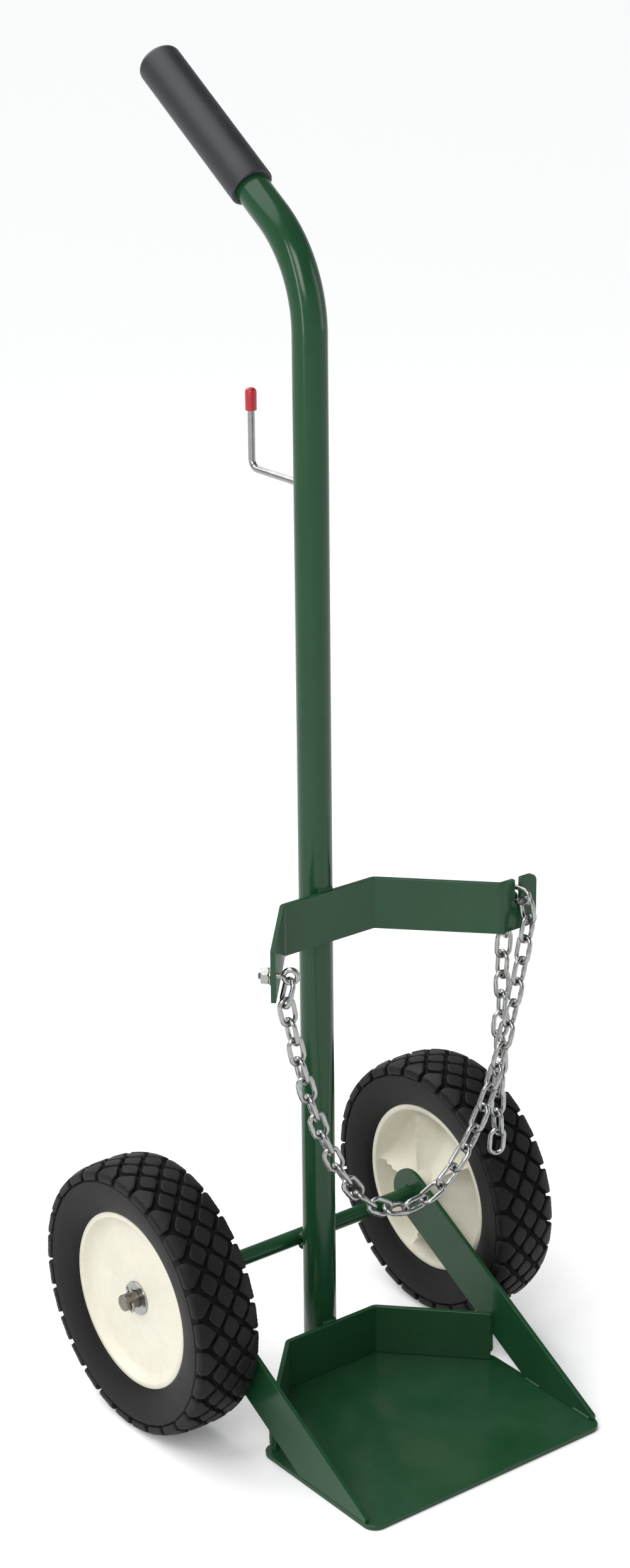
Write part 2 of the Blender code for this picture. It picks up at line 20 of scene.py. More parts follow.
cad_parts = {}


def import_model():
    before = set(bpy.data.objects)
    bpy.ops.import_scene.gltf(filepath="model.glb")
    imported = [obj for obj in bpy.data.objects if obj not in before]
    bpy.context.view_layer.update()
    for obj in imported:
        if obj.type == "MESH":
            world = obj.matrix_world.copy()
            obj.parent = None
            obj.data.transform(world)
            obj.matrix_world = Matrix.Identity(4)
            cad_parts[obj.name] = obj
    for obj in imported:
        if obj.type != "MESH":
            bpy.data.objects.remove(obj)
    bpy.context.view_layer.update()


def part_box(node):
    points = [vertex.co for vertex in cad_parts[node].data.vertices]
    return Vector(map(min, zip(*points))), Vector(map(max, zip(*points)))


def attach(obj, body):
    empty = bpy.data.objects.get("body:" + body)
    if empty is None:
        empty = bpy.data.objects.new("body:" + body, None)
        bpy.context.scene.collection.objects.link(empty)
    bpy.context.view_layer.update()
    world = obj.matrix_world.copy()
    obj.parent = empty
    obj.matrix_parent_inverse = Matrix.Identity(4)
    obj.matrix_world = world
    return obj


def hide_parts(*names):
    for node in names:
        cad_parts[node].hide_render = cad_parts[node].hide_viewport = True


log = logging.getLogger("hand_truck")

FULL_TURN = 2 * math.pi
Colour = tuple[float, float, float]
Faces = list[tuple[int, ...]]


class Body(Enum):
    """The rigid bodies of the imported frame."""

    FRAME = "frame"
    LEFT_WHEEL = "left_wheel"
    RIGHT_WHEEL = "right_wheel"
    CHAIN_LOOP = "chain_loop"
    CHAIN_END = "chain_end"


class Side(Enum):
    """The truck's two sides, with the sign of X there."""

    LEFT = -1
    RIGHT = 1

    @property
    def word(self) -> str:
        """The side's name in node names."""
        return self.name.lower()

    @property
    def wheel(self) -> Body:
        """The wheel body on this side."""
        return Body.LEFT_WHEEL if self is Side.LEFT else Body.RIGHT_WHEEL


# ---- Mesh helpers ----


def mesh_object(name: str, verts: Sequence, faces: Faces, angle: float = 35.0) -> bpy.types.Object:
    """Makes an object from vertices and faces and shades it smooth up to an angle.

    Args:
        name: The piece's name.
        verts: Points, three numbers each.
        faces: Vertex indices of each face.
        angle: The sharpest angle, in degrees, that is still shaded smooth.

    Returns:
        The new object, linked to the scene.
    """
    mesh = bpy.data.meshes.new(name)
    mesh.from_pydata([tuple(map(float, v)) for v in verts], [], faces)
    work = bmesh.new()
    work.from_mesh(mesh)
    bmesh.ops.recalc_face_normals(work, faces=work.faces)
    work.to_mesh(mesh)
    work.free()
    mesh.shade_smooth()
    mesh.set_sharp_from_angle(angle=math.radians(angle))
    obj = bpy.data.objects.new(name, mesh)
    bpy.context.scene.collection.objects.link(obj)
    return obj


def frames_along(path: np.ndarray, closed: bool) -> tuple[np.ndarray, np.ndarray]:
    """Finds two unit vectors across a path at each of its points, turning as little as they can.

    Args:
        path: The points.
        closed: Whether the last point joins the first.

    Returns:
        The two arrays of vectors.
    """
    if closed:
        tangent = np.roll(path, -1, 0) - np.roll(path, 1, 0)
    else:
        tangent = np.gradient(path, axis=0)
    tangent /= np.linalg.norm(tangent, axis=1)[:, None]
    spare = np.eye(3)[int(np.argmin(np.abs(tangent[0])))]
    first = []
    for direction in tangent:
        spare = spare - direction * (spare @ direction)
        spare = spare / np.linalg.norm(spare)
        first.append(spare)
    across = np.array(first)
    return across, np.cross(tangent, across)


def tube(
    path: Sequence, radius: float | Sequence[float], sides: int = 16, closed: bool = False, flat: float = 1.0
) -> tuple[np.ndarray, Faces]:
    """Sweeps a round section along a path.

    Args:
        path: The points of the centreline.
        radius: One radius, or one for each point.
        sides: Points round the section.
        closed: Whether the path is a loop.
        flat: How much the section is squashed in its second direction.

    Returns:
        The vertices and faces, with flat ends on an open path.
    """
    points = np.asarray(path, float)
    count = len(points)
    radii = np.broadcast_to(np.asarray(radius, float), (count,))
    across, up = frames_along(points, closed)
    turn = np.arange(sides) * FULL_TURN / sides
    ring = (
        across[:, None] * np.cos(turn)[None, :, None] + up[:, None] * np.sin(turn)[None, :, None] * flat
    )
    verts = (points[:, None] + ring * radii[:, None, None]).reshape(-1, 3)
    faces: Faces = []
    for i in range(count if closed else count - 1):
        here, there = i * sides, (i + 1) % count * sides
        for j in range(sides):
            k = (j + 1) % sides
            faces.append((here + j, here + k, there + k, there + j))
    if not closed:
        faces.append(tuple(reversed(range(sides))))
        faces.append(tuple(range((count - 1) * sides, count * sides)))
    return verts, faces


def turned(
    profile: Sequence[tuple[float, float]], steps: int = 64, loop: bool = True
) -> tuple[np.ndarray, Faces]:
    """Turns a profile of (radius, height) round the Z axis.

    Args:
        profile: The points of the profile. A radius of zero is one point on the axis.
        steps: Facets round the axis.
        loop: Whether the profile closes on itself, as a ring's does.

    Returns:
        The vertices and faces.
    """
    verts: list[tuple[float, float, float]] = []
    rows: list[list[int]] = []
    for radius, height in profile:
        if radius < 1e-7:
            rows.append([len(verts)] * steps)
            verts.append((0.0, 0.0, height))
            continue
        rows.append(list(range(len(verts), len(verts) + steps)))
        for step in range(steps):
            angle = FULL_TURN * step / steps
            verts.append((radius * math.cos(angle), radius * math.sin(angle), height))
    faces: Faces = []
    pairs = list(zip(rows, rows[1:] + rows[:1])) if loop else list(zip(rows, rows[1:]))
    for upper, lower in pairs:
        for step in range(steps):
            after = (step + 1) % steps
            corners = (upper[step], upper[after], lower[after], lower[step])
            unique = tuple(dict.fromkeys(corners))
            if len(unique) > 2:
                faces.append(unique)
    return np.array(verts), faces


def arc(centre: Sequence[float], radius: float, first: float, last: float, steps: int) -> list:
    """Points on an arc in the plane, from one angle to another in degrees."""
    angles = [math.radians(first + (last - first) * i / steps) for i in range(steps + 1)]
    return [(centre[0] + radius * math.cos(a), centre[1] + radius * math.sin(a)) for a in angles]


def rounded_line(points: Sequence, radii: Sequence[float], steps: int = 8) -> np.ndarray:
    """Rounds the inner corners of a line in two or three dimensions.

    Args:
        points: The line's corners, ends included.
        radii: The radius at each inner corner.
        steps: Segments in each rounded corner.

    Returns:
        The points of the rounded line.
    """
    corners = [Vector(p) for p in points]
    line = [corners[0]]
    for i, radius in enumerate(radii, 1):
        before = (corners[i - 1] - corners[i]).normalized()
        after = (corners[i + 1] - corners[i]).normalized()
        half = before.angle(after) / 2
        centre = corners[i] + (before + after).normalized() * (radius / math.sin(half))
        start = corners[i] + before * (radius / math.tan(half)) - centre
        end = corners[i] + after * (radius / math.tan(half)) - centre
        flat, level = start.normalized(), end.normalized()
        turn = flat.angle(level)
        for step in range(steps + 1):
            share = step / steps
            one, other = math.sin((1 - share) * turn), math.sin(share * turn)
            line.append(centre + (flat * one + level * other) * (radius / math.sin(turn)))
    line.append(corners[-1])
    return np.array([tuple(p) for p in line])


def rounded_shape(corners: Sequence[tuple[float, float, float]], steps: int = 8) -> list:
    """Rounds a closed outline.

    Args:
        corners: Each corner as (x, y, radius).
        steps: Segments in each rounded corner.

    Returns:
        The outline's points.
    """
    outline = []
    count = len(corners)
    for i, (x, y, radius) in enumerate(corners):
        if radius == 0:
            outline.append((x, y))
            continue
        line = [corners[i - 1][:2], (x, y), corners[(i + 1) % count][:2]]
        outline += [tuple(p) for p in rounded_line(line, [radius], steps)[1:-1]]
    return outline


def add_modifier(obj: bpy.types.Object, kind: str, **settings: object) -> None:
    """Adds a modifier of that kind with those settings."""
    modifier = obj.modifiers.new(kind.title(), kind)
    for key, value in settings.items():
        setattr(modifier, key, value)


def wobble(point: Sequence[float], scale: float) -> float:
    """Smooth noise from about -1 to 1, with features of 1 / scale metres."""
    return noise.noise(Vector(point) * scale)


def merge(pieces: Sequence[tuple[np.ndarray, Faces]]) -> tuple[np.ndarray, Faces]:
    """Joins several vertex and face lists into one."""
    verts, faces, base = [], [], 0
    for some_verts, some_faces in pieces:
        verts.append(np.asarray(some_verts))
        faces += [tuple(i + base for i in face) for face in some_faces]
        base += len(some_verts)
    return np.concatenate(verts), faces


# ---- Shader groups ----


class Patch:
    """A short way to add and join nodes in a tree."""

    def __init__(self, tree: bpy.types.NodeTree) -> None:
        """Keeps the tree."""
        self.tree = tree

    def node(self, kind: str, **inputs: object) -> bpy.types.Node:
        """Adds a node and fills its inputs and settings.

        Args:
            kind: The node's type, without "ShaderNode".
            inputs: Values, sockets to join, or settings of the node.

        Returns:
            The node.
        """
        made = self.tree.nodes.new(f"ShaderNode{kind}")
        for key, value in inputs.items():
            label = key.replace("_", " ")
            if hasattr(made, key) and label not in made.inputs:
                setattr(made, key, value)
            elif isinstance(value, bpy.types.NodeSocket):
                self.tree.links.new(value, self.socket(made, label))
            else:
                self.socket(made, label).default_value = value
        return made

    def socket(self, node: bpy.types.Node, label: str) -> bpy.types.NodeSocket:
        """Finds an input by its name, or by its number as in "in0"."""
        if label.startswith("in") and label[2:].isdigit():
            return node.inputs[int(label[2:])]
        return node.inputs[label]

    def maths(self, operation: str, *values: object, clamp: bool = False) -> bpy.types.NodeSocket:
        """Adds a Math node over the values and returns its output."""
        made = self.tree.nodes.new("ShaderNodeMath")
        made.operation = operation
        made.use_clamp = clamp
        for i, value in enumerate(values):
            if isinstance(value, bpy.types.NodeSocket):
                self.tree.links.new(value, made.inputs[i])
            else:
                made.inputs[i].default_value = value
        return made.outputs[0]

    def ramp(self, value: bpy.types.NodeSocket, low: float, high: float) -> bpy.types.NodeSocket:
        """Maps a value from low..high to 0..1, smoothly and clamped."""
        made = self.node("MapRange", interpolation_type="SMOOTHSTEP", Value=value)
        made.inputs["From Min"].default_value = low
        made.inputs["From Max"].default_value = high
        return made.outputs["Result"]

    def mix(self, share: object, one: object, other: object) -> bpy.types.NodeSocket:
        """Mixes two colours and returns the result."""
        made = self.tree.nodes.new("ShaderNodeMix")
        made.data_type = "RGBA"
        for key, value in (("Factor", share), ("A", one), ("B", other)):
            socket = next(s for s in made.inputs if s.name == key and (key == "Factor" or s.type == "RGBA"))
            if isinstance(value, bpy.types.NodeSocket):
                self.tree.links.new(value, socket)
            elif key == "Factor":
                socket.default_value = value
            else:
                socket.default_value = (*value, 1.0)
        return next(s for s in made.outputs if s.type == "RGBA")


@dataclass(frozen=True)
class GroupSpec:
    """A shader node group: its name, its inputs with their defaults, and its output names."""

    name: str
    inputs: dict[str, float]
    outputs: tuple[str, ...]
    build: Callable[[Patch, bpy.types.Node, bpy.types.Node], None]

    def tree(self) -> bpy.types.NodeTree:
        """Builds the group the first time it is asked for, and gives it back after that."""
        known = bpy.data.node_groups.get(self.name)
        if known:
            return known
        tree = bpy.data.node_groups.new(self.name, "ShaderNodeTree")
        for name, value in self.inputs.items():
            socket = tree.interface.new_socket(name=name, in_out="INPUT", socket_type="NodeSocketFloat")
            socket.default_value = value
        for name in self.outputs:
            tree.interface.new_socket(name=name, in_out="OUTPUT", socket_type="NodeSocketFloat")
        source = tree.nodes.new("NodeGroupInput")
        sink = tree.nodes.new("NodeGroupOutput")
        self.build(Patch(tree), source, sink)
        return tree

    def place(self, patch: Patch, **values: float) -> bpy.types.Node:
        """Puts the group in a material.

        Args:
            patch: The material's tree.
            values: The group's inputs.

        Returns:
            The group node.
        """
        node = patch.tree.nodes.new("ShaderNodeGroup")
        node.node_tree = self.tree()
        for key, value in values.items():
            node.inputs[key.replace("_", " ")].default_value = value
        return node


def build_mottle(patch: Patch, source: bpy.types.Node, sink: bpy.types.Node) -> None:
    """Soft patches at two sizes, as on any surface that has been made, stored and handled."""
    place = patch.node("TexCoord").outputs["Object"]
    broad = patch.node("TexNoise", Vector=place, Scale=source.outputs["Scale"], Detail=3.0)
    fine_scale = patch.maths("MULTIPLY", source.outputs["Scale"], 6.5)
    fine = patch.node("TexNoise", Vector=place, Scale=fine_scale, Detail=4.0, Roughness=0.6)
    half = patch.maths("MULTIPLY", broad.outputs["Fac"], 0.6)
    both = patch.maths("MULTIPLY_ADD", fine.outputs["Fac"], 0.4, half)
    spread = patch.maths("SUBTRACT", both, 0.5)
    strong = patch.maths("MULTIPLY_ADD", spread, source.outputs["Contrast"], 0.5, clamp=True)
    patch.tree.links.new(strong, sink.inputs["Mask"])


def build_grain(patch: Patch, source: bpy.types.Node, sink: bpy.types.Node) -> None:
    """A fine height for bump: orange peel, moulding grain or rubber skin, by its scale."""
    place = patch.node("TexCoord").outputs["Object"]
    lumps = patch.node("TexNoise", Vector=place, Scale=source.outputs["Scale"], Detail=2.0)
    cells = patch.node("TexVoronoi", Vector=place, Scale=source.outputs["Scale"])
    rough = patch.maths("MULTIPLY", cells.outputs["Distance"], source.outputs["Cells"])
    height = patch.maths("ADD", lumps.outputs["Fac"], rough)
    patch.tree.links.new(height, sink.inputs["Height"])


def build_specks(patch: Patch, source: bpy.types.Node, sink: bpy.types.Node) -> None:
    """Scattered small spots, for dust, pits and chips."""
    place = patch.node("TexCoord").outputs["Object"]
    cells = patch.node("TexVoronoi", Vector=place, Scale=source.outputs["Scale"])
    size = patch.maths("SUBTRACT", source.outputs["Size"], cells.outputs["Distance"])
    spot = patch.maths("MULTIPLY", size, 14.0, clamp=True)
    chosen = patch.node("SeparateColor", Color=cells.outputs["Color"]).outputs["Red"]
    share = patch.maths("LESS_THAN", chosen, source.outputs["Share"])
    patch.tree.links.new(patch.maths("MULTIPLY", spot, share), sink.inputs["Mask"])


def build_edge_highlight(patch: Patch, source: bpy.types.Node, sink: bpy.types.Node) -> None:
    """Where the surface turns sharply, broken up by noise: the mask for a painted edge highlight."""
    bevel = patch.node("Bevel", samples=6, Radius=source.outputs["Width"]).outputs["Normal"]
    plain = patch.node("NewGeometry").outputs["Normal"]
    match = patch.node("VectorMath", operation="DOT_PRODUCT", in0=bevel, in1=plain).outputs["Value"]
    bend = patch.maths("SUBTRACT", 1.0, match)
    edge = patch.ramp(bend, 0.01, 0.12)
    place = patch.node("TexCoord").outputs["Object"]
    breaks = patch.node("TexNoise", Vector=place, Scale=90.0, Detail=3.0).outputs["Fac"]
    broken = patch.ramp(breaks, 0.40, 0.62)
    patch.tree.links.new(patch.maths("MULTIPLY", edge, broken), sink.inputs["Mask"])


def build_height_dust(patch: Patch, source: bpy.types.Node, sink: bpy.types.Node) -> None:
    """Dust on what faces up, in noise patches."""
    geometry = patch.node("NewGeometry")
    up = patch.node("SeparateXYZ", Vector=geometry.outputs["Normal"]).outputs["Z"]
    facing = patch.ramp(up, 0.35, 1.0)
    spread = patch.node("TexNoise", Vector=geometry.outputs["Position"], Scale=30.0, Detail=5.0)
    patchy = patch.ramp(spread.outputs["Fac"], 0.35, 0.75)
    both = patch.maths("MULTIPLY", facing, patchy)
    patch.tree.links.new(patch.maths("MULTIPLY", both, source.outputs["Amount"]), sink.inputs["Mask"])


MOTTLE = GroupSpec("mottle", {"Scale": 12.0, "Contrast": 1.5}, ("Mask",), build_mottle)
GRAIN = GroupSpec("grain", {"Scale": 600.0, "Cells": 0.0}, ("Height",), build_grain)
SPECKS = GroupSpec("specks", {"Scale": 120.0, "Size": 0.2, "Share": 0.2}, ("Mask",), build_specks)
# The mask that lays a lighter colour on sharp edges: a painted highlight.
EDGE_HIGHLIGHT = GroupSpec("worn_edges", {"Width": 0.0012}, ("Mask",), build_edge_highlight)
DUST = GroupSpec("settled_dust", {"Amount": 0.5}, ("Mask",), build_height_dust)


# ---- Finishes ----


@dataclass(frozen=True)
class Finish:
    """A finish: two base colours that mottle into each other, and how it shines and feels."""

    name: str
    slot: str
    colour: Colour
    second: Colour
    roughness: float
    metallic: float = 0.0
    coat: float = 0.0
    specular: float = 0.5
    mottle_scale: float = 10.0
    grain_scale: float = 500.0
    grain_cells: float = 0.0
    grain_depth: float = 0.05
    # A lighter colour laid on sharp edges: a painted edge highlight.
    edge_highlight_colour: Colour | None = None
    edge_highlight_amount: float = 0.0
    dust_colour: Colour = (0.30, 0.28, 0.24)
    dust: float = 0.0
    speck_colour: Colour = (0.2, 0.2, 0.18)
    speck_scale: float = 150.0
    speck_amount: float = 0.0
    roughness_spread: float = 0.12

    def make(self) -> bpy.types.Material:
        """Builds the material the first time, and gives it back after that."""
        known = bpy.data.materials.get(self.name)
        if known:
            return known
        material = bpy.data.materials.new(self.name)
        material.use_nodes = True
        tree = material.node_tree
        tree.nodes.clear()
        patch = Patch(tree)
        shader = patch.node("BsdfPrincipled")
        shader.inputs["Coat Weight"].default_value = self.coat
        shader.inputs["Coat Roughness"].default_value = 0.07
        shader.inputs["Specular IOR Level"].default_value = self.specular
        shader.inputs["Metallic"].default_value = self.metallic
        colour, rough = self.layers(patch)
        tree.links.new(colour, shader.inputs["Base Color"])
        tree.links.new(rough, shader.inputs["Roughness"])
        grain = GRAIN.place(patch, Scale=self.grain_scale, Cells=self.grain_cells)
        bump = patch.node("Bump", Height=grain.outputs["Height"], Strength=self.grain_depth)
        bump.inputs["Distance"].default_value = 0.001
        tree.links.new(bump.outputs["Normal"], shader.inputs["Normal"])
        output = tree.nodes.new("ShaderNodeOutputMaterial")
        tree.links.new(shader.outputs["BSDF"], output.inputs["Surface"])
        return material

    def layers(self, patch: Patch) -> tuple[bpy.types.NodeSocket, bpy.types.NodeSocket]:
        """Lays mottle, painted edge highlights, specks and dust over each other.

        Args:
            patch: The material's tree.

        Returns:
            The colour and the roughness.
        """
        mottle = MOTTLE.place(patch, Scale=self.mottle_scale, Contrast=2.2).outputs["Mask"]
        colour = patch.mix(mottle, self.colour, self.second)
        low = self.roughness - self.roughness_spread / 2
        rough = patch.maths("MULTIPLY_ADD", mottle, self.roughness_spread, low)
        # Painted highlight: a lighter colour mixed in on sharp edges.
        if self.edge_highlight_amount:
            edge = EDGE_HIGHLIGHT.place(patch).outputs["Mask"]
            share = patch.maths("MULTIPLY", edge, self.edge_highlight_amount)
            colour = patch.mix(share, colour, self.edge_highlight_colour or self.second)
        if self.speck_amount:
            specks = SPECKS.place(patch, Scale=self.speck_scale).outputs["Mask"]
            colour = patch.mix(
                patch.maths("MULTIPLY", specks, self.speck_amount), colour, self.speck_colour
            )
        if self.dust:
            dust = DUST.place(patch, Amount=self.dust).outputs["Mask"]
            colour = patch.mix(dust, colour, self.dust_colour)
            rough = patch.maths("ADD", rough, patch.maths("MULTIPLY", dust, 0.35), clamp=True)
        return colour, rough


GREEN_ENAMEL = Finish(
    name="green_enamel_coat",
    slot="green_enamel",
    colour=(0.0085, 0.050, 0.0185),
    second=(0.0115, 0.061, 0.0235),
    roughness=0.19,
    roughness_spread=0.06,
    coat=0.08,
    mottle_scale=14.0,
    grain_scale=420.0,
    grain_depth=0.035,
    # A lighter green on the edges: painted highlight.
    edge_highlight_colour=(0.06, 0.19, 0.10),
    edge_highlight_amount=0.4,
    dust=0.02,
    specular=0.30,
)
BRIGHT_ZINC = Finish(
    name="bright_zinc",
    slot="zinc_plate",
    colour=(0.44, 0.45, 0.45),
    second=(0.29, 0.29, 0.27),
    roughness=0.20,
    metallic=1.0,
    mottle_scale=70.0,
    grain_scale=900.0,
    grain_depth=0.05,
    speck_colour=(0.35, 0.34, 0.30),
    speck_scale=400.0,
    speck_amount=0.4,
)
BARE_STEEL = Finish(
    name="turned_steel",
    slot="bare_steel",
    colour=(0.25, 0.235, 0.205),
    second=(0.14, 0.125, 0.10),
    roughness=0.34,
    metallic=1.0,
    mottle_scale=60.0,
    grain_scale=1200.0,
    grain_depth=0.08,
)
TYRE_RUBBER = Finish(
    name="tyre_rubber",
    slot="black_rubber",
    colour=(0.0050, 0.0050, 0.0052),
    second=(0.0085, 0.0082, 0.0078),
    roughness=0.50,
    specular=0.18,
    mottle_scale=18.0,
    grain_scale=1100.0,
    grain_cells=0.6,
    grain_depth=0.12,
    # A much lighter grey on the block edges: painted highlight.
    edge_highlight_colour=(0.050, 0.047, 0.042),
    edge_highlight_amount=0.7,
    dust=0.02,
    speck_colour=(0.09, 0.085, 0.075),
    speck_scale=320.0,
    speck_amount=0.25,
)
# A darker, rougher copy of the tyre rubber for the carcass between the blocks: painted shade in the grooves.
GROOVE_SHADE_RUBBER = Finish(
    name="groove_rubber",
    slot="black_rubber",
    colour=(0.0035, 0.0035, 0.0035),
    second=(0.006, 0.0058, 0.0055),
    roughness=0.8,
    specular=0.15,
    mottle_scale=40.0,
    grain_scale=1100.0,
    grain_cells=0.6,
    grain_depth=0.1,
)
HUB_PLASTIC = Finish(
    name="cream_hub_plastic",
    slot="cream_plastic",
    colour=(0.76, 0.735, 0.63),
    second=(0.66, 0.625, 0.51),
    roughness=0.42,
    mottle_scale=16.0,
    grain_scale=700.0,
    grain_depth=0.03,
    speck_colour=(0.42, 0.34, 0.22),
    speck_scale=90.0,
    speck_amount=0.12,
)
GRIP_VINYL = Finish(
    name="grip_vinyl",
    slot="black_vinyl",
    colour=(0.0125, 0.0150, 0.0180),
    second=(0.0190, 0.0220, 0.0250),
    roughness=0.42,
    mottle_scale=30.0,
    grain_scale=1500.0,
    grain_cells=0.5,
    grain_depth=0.14,
    dust=0.04,
)
RED_DIP = Finish(
    name="red_dipped_vinyl",
    slot="red_vinyl",
    colour=(0.44, 0.012, 0.020),
    second=(0.36, 0.008, 0.014),
    roughness=0.33,
    coat=0.2,
    mottle_scale=60.0,
    grain_scale=700.0,
    grain_depth=0.03,
)


# ---- Placing pieces ----


@dataclass
class Datum:
    """Where the frame has the mast and the axle, read from the CAD nodes."""

    tube_radius: float = 0.015875
    mast_y: float = field(init=False)
    axle: Vector = field(init=False)

    def __post_init__(self) -> None:
        """Reads the boxes of the mast and the axle."""
        self.mast_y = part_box("mast_tube")[0].y + self.tube_radius
        low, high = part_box("axle")
        self.axle = (low + high) / 2

    def world(self, x: float, y: float, z: float) -> Vector:
        """A point given from the mast's axis, in the frame."""
        return Vector((x, y + self.mast_y, z))

    def shift(self) -> Matrix:
        """Moves a piece laid out round the mast's axis to its place."""
        return Matrix.Translation((0, self.mast_y, 0))


def finish_piece(
    obj: bpy.types.Object,
    finish: Finish,
    body: Body,
    nodes: Sequence[str] = (),
    place: Matrix | None = None,
) -> bpy.types.Object:
    """Gives a piece its place, material, body and the CAD nodes it stands for.

    Args:
        obj: The piece.
        finish: What it is finished in.
        body: The body it moves with.
        nodes: The CAD nodes it replaces.
        place: Where it goes, if it was built elsewhere.

    Returns:
        The piece.
    """
    if place is not None:
        obj.data.transform(place)
    obj.data.materials.clear()
    obj.data.materials.append(finish.make())
    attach(obj, body.value)
    if nodes:
        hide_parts(*nodes)
    log.info("%s: %d faces, on %s", obj.name, len(obj.data.polygons), body.value)
    return obj


# ---- Mast, grip and hook ----


@dataclass
class Mast:
    """The tube that everything is welded to, with its grip and hose hook."""

    datum: Datum
    radius: float = 0.015875
    wall: float = 0.0021
    bend_z: float = 1.025
    bend_radius: float = 0.117
    bend_angle: float = math.radians(55.7)
    grip_start: float = 0.149
    grip_length: float = 0.170
    grip_radius: float = 0.0204
    hook_z: float = 0.889
    hook_reach: float = 0.0878
    hook_top: float = 0.9625
    rod_radius: float = 0.0032

    def point(self, along: float) -> tuple[Vector, Vector]:
        """The centreline and its direction, that far past the start of the bend."""
        angle = min(max(along, 0.0) / self.bend_radius, self.bend_angle)
        forward = Vector((0, math.sin(angle), math.cos(angle)))
        rise = Vector(
            (
                0,
                self.bend_radius * (1 - math.cos(angle)),
                self.bend_z + self.bend_radius * math.sin(angle),
            )
        )
        rest = max(0.0, along - self.bend_radius * self.bend_angle)
        return rise + forward * (rest + min(along, 0.0)), forward

    def build(self) -> None:
        """Makes the tube, the grip and the hook."""
        self.build_tube()
        self.build_grip()
        self.build_hook()

    def build_tube(self) -> None:
        """A long thin-walled tube, open at the floor."""
        bend = self.bend_radius * self.bend_angle
        straight = [-self.bend_z + self.bend_z * i / 12 for i in range(12)]
        stations = straight + [bend * i / 40 for i in range(41)] + [self.grip_start + 0.155]
        verts, faces = tube([self.point(s)[0] for s in stations], self.radius, 64)
        obj = mesh_object("mast", verts, faces[:-2], 60)
        add_modifier(obj, "SOLIDIFY", thickness=self.wall, offset=-1.0)
        finish_piece(obj, GREEN_ENAMEL, Body.FRAME, ["mast_tube"], self.datum.shift())

    def build_grip(self) -> None:
        """A dipped sleeve with a soft rounded end and a thin lip at its mouth."""
        place, forward = self.point(self.grip_start)
        radius, length = self.grip_radius, self.grip_length
        inner = self.radius + 0.0002
        profile = [(inner, 0.03), (inner, 0.0008)]
        profile += arc((inner + 0.0022, 0.0014), 0.0014, 200, 270, 4)
        profile += arc((radius - 0.0016, 0.0016), 0.0016, 270, 360, 5)
        profile += [(radius, 0.02 + (length - 0.04) * i / 6) for i in range(7)]
        profile += arc((radius - 0.0065, length - 0.0065), 0.0065, 0, 86, 10)
        profile += [(radius * 0.5, length), (0.0, length)]
        verts, faces = turned(profile, 72, loop=False)
        obj = mesh_object("grip", verts, faces, 50)
        turn = Vector((0, 0, 1)).rotation_difference(forward).to_matrix().to_4x4()
        where = self.datum.shift() @ Matrix.Translation(place) @ turn
        finish_piece(obj, GRIP_VINYL, Body.FRAME, ["handle_grip"], where)

    def build_hook(self) -> None:
        """A bent rod with a dipped end, welded to the back of the mast."""
        corners = [(0, self.radius - 0.001, self.hook_z), (0, self.hook_reach, self.hook_z)]
        corners.append((0, self.hook_reach, self.hook_top - 0.003))
        verts, faces = tube(rounded_line(corners, [0.0085], 12), self.rod_radius, 20)
        rod = mesh_object("hook_rod", verts, faces)
        finish_piece(rod, BRIGHT_ZINC, Body.FRAME, ["hose_hook"], self.datum.shift())
        radius, length = 0.0052, 0.0205
        profile = [(self.rod_radius, -length + 0.003), (self.rod_radius + 0.0002, -length)]
        profile += arc((radius - 0.0006, -length + 0.0006), 0.0006, 270, 360, 3)
        profile += [(radius, -0.012), (radius + 0.0001, -0.006)]
        profile += arc((radius - 0.0036, -0.0036), 0.0036, 0, 88, 8) + [(0.0, 0.0)]
        verts, faces = turned(profile, 32, loop=False)
        cap = mesh_object("hook_tip_cap", verts, faces, 50)
        where = Matrix.Translation(self.datum.world(0, self.hook_reach, self.hook_top))
        finish_piece(cap, RED_DIP, Body.FRAME, ["hook_cap"], where)


# ---- Bent flat bar ----


@dataclass
class BentBar:
    """Flat bar bent along a line seen from above, cut to an outline before bending."""

    line: np.ndarray
    low: float
    thickness: float = 0.00476

    def __post_init__(self) -> None:
        """Measures along the bent line."""
        steps = np.linalg.norm(np.diff(self.line, axis=0), axis=1)
        self.marks = np.concatenate([[0.0], np.cumsum(steps)])

    @property
    def length(self) -> float:
        """The bar's length before bending."""
        return float(self.marks[-1])

    def at(self, along: float) -> tuple[np.ndarray, np.ndarray]:
        """The point on the front line and the direction there, that far along."""
        i = int(np.clip(np.searchsorted(self.marks, along) - 1, 0, len(self.line) - 2))
        run = self.line[i + 1] - self.line[i]
        share = (along - self.marks[i]) / np.linalg.norm(run)
        return self.line[i] + run * share, run / np.linalg.norm(run)

    def bend(self, name: str, outline: Sequence[tuple[float, float]]) -> bpy.types.Object:
        """Cuts the flat outline, bends it and gives it thickness.

        Args:
            name: The piece's name.
            outline: Points of (along, height above the lower edge).

        Returns:
            The bar as an object.
        """
        work = bmesh.new()
        work.faces.new([work.verts.new((a, 0, h)) for a, h in outline])
        for mark in self.marks[1:-1]:
            geometry = work.verts[:] + work.edges[:] + work.faces[:]
            bmesh.ops.bisect_plane(
                work, geom=geometry, dist=1e-7, plane_co=(mark, 0, 0), plane_no=(1, 0, 0)
            )
        for vert in work.verts:
            point, _ = self.at(vert.co.x)
            vert.co = (point[0], point[1], self.low + vert.co.z)
        bmesh.ops.recalc_face_normals(work, faces=work.faces)
        facing = sum((f.normal.y * f.calc_area() for f in work.faces), 0.0)
        if facing > 0:
            bmesh.ops.reverse_faces(work, faces=work.faces)
        mesh = bpy.data.meshes.new(name)
        work.to_mesh(mesh)
        work.free()
        mesh.shade_smooth()
        obj = bpy.data.objects.new(name, mesh)
        bpy.context.scene.collection.objects.link(obj)
        thicken(obj, self.thickness)
        return obj


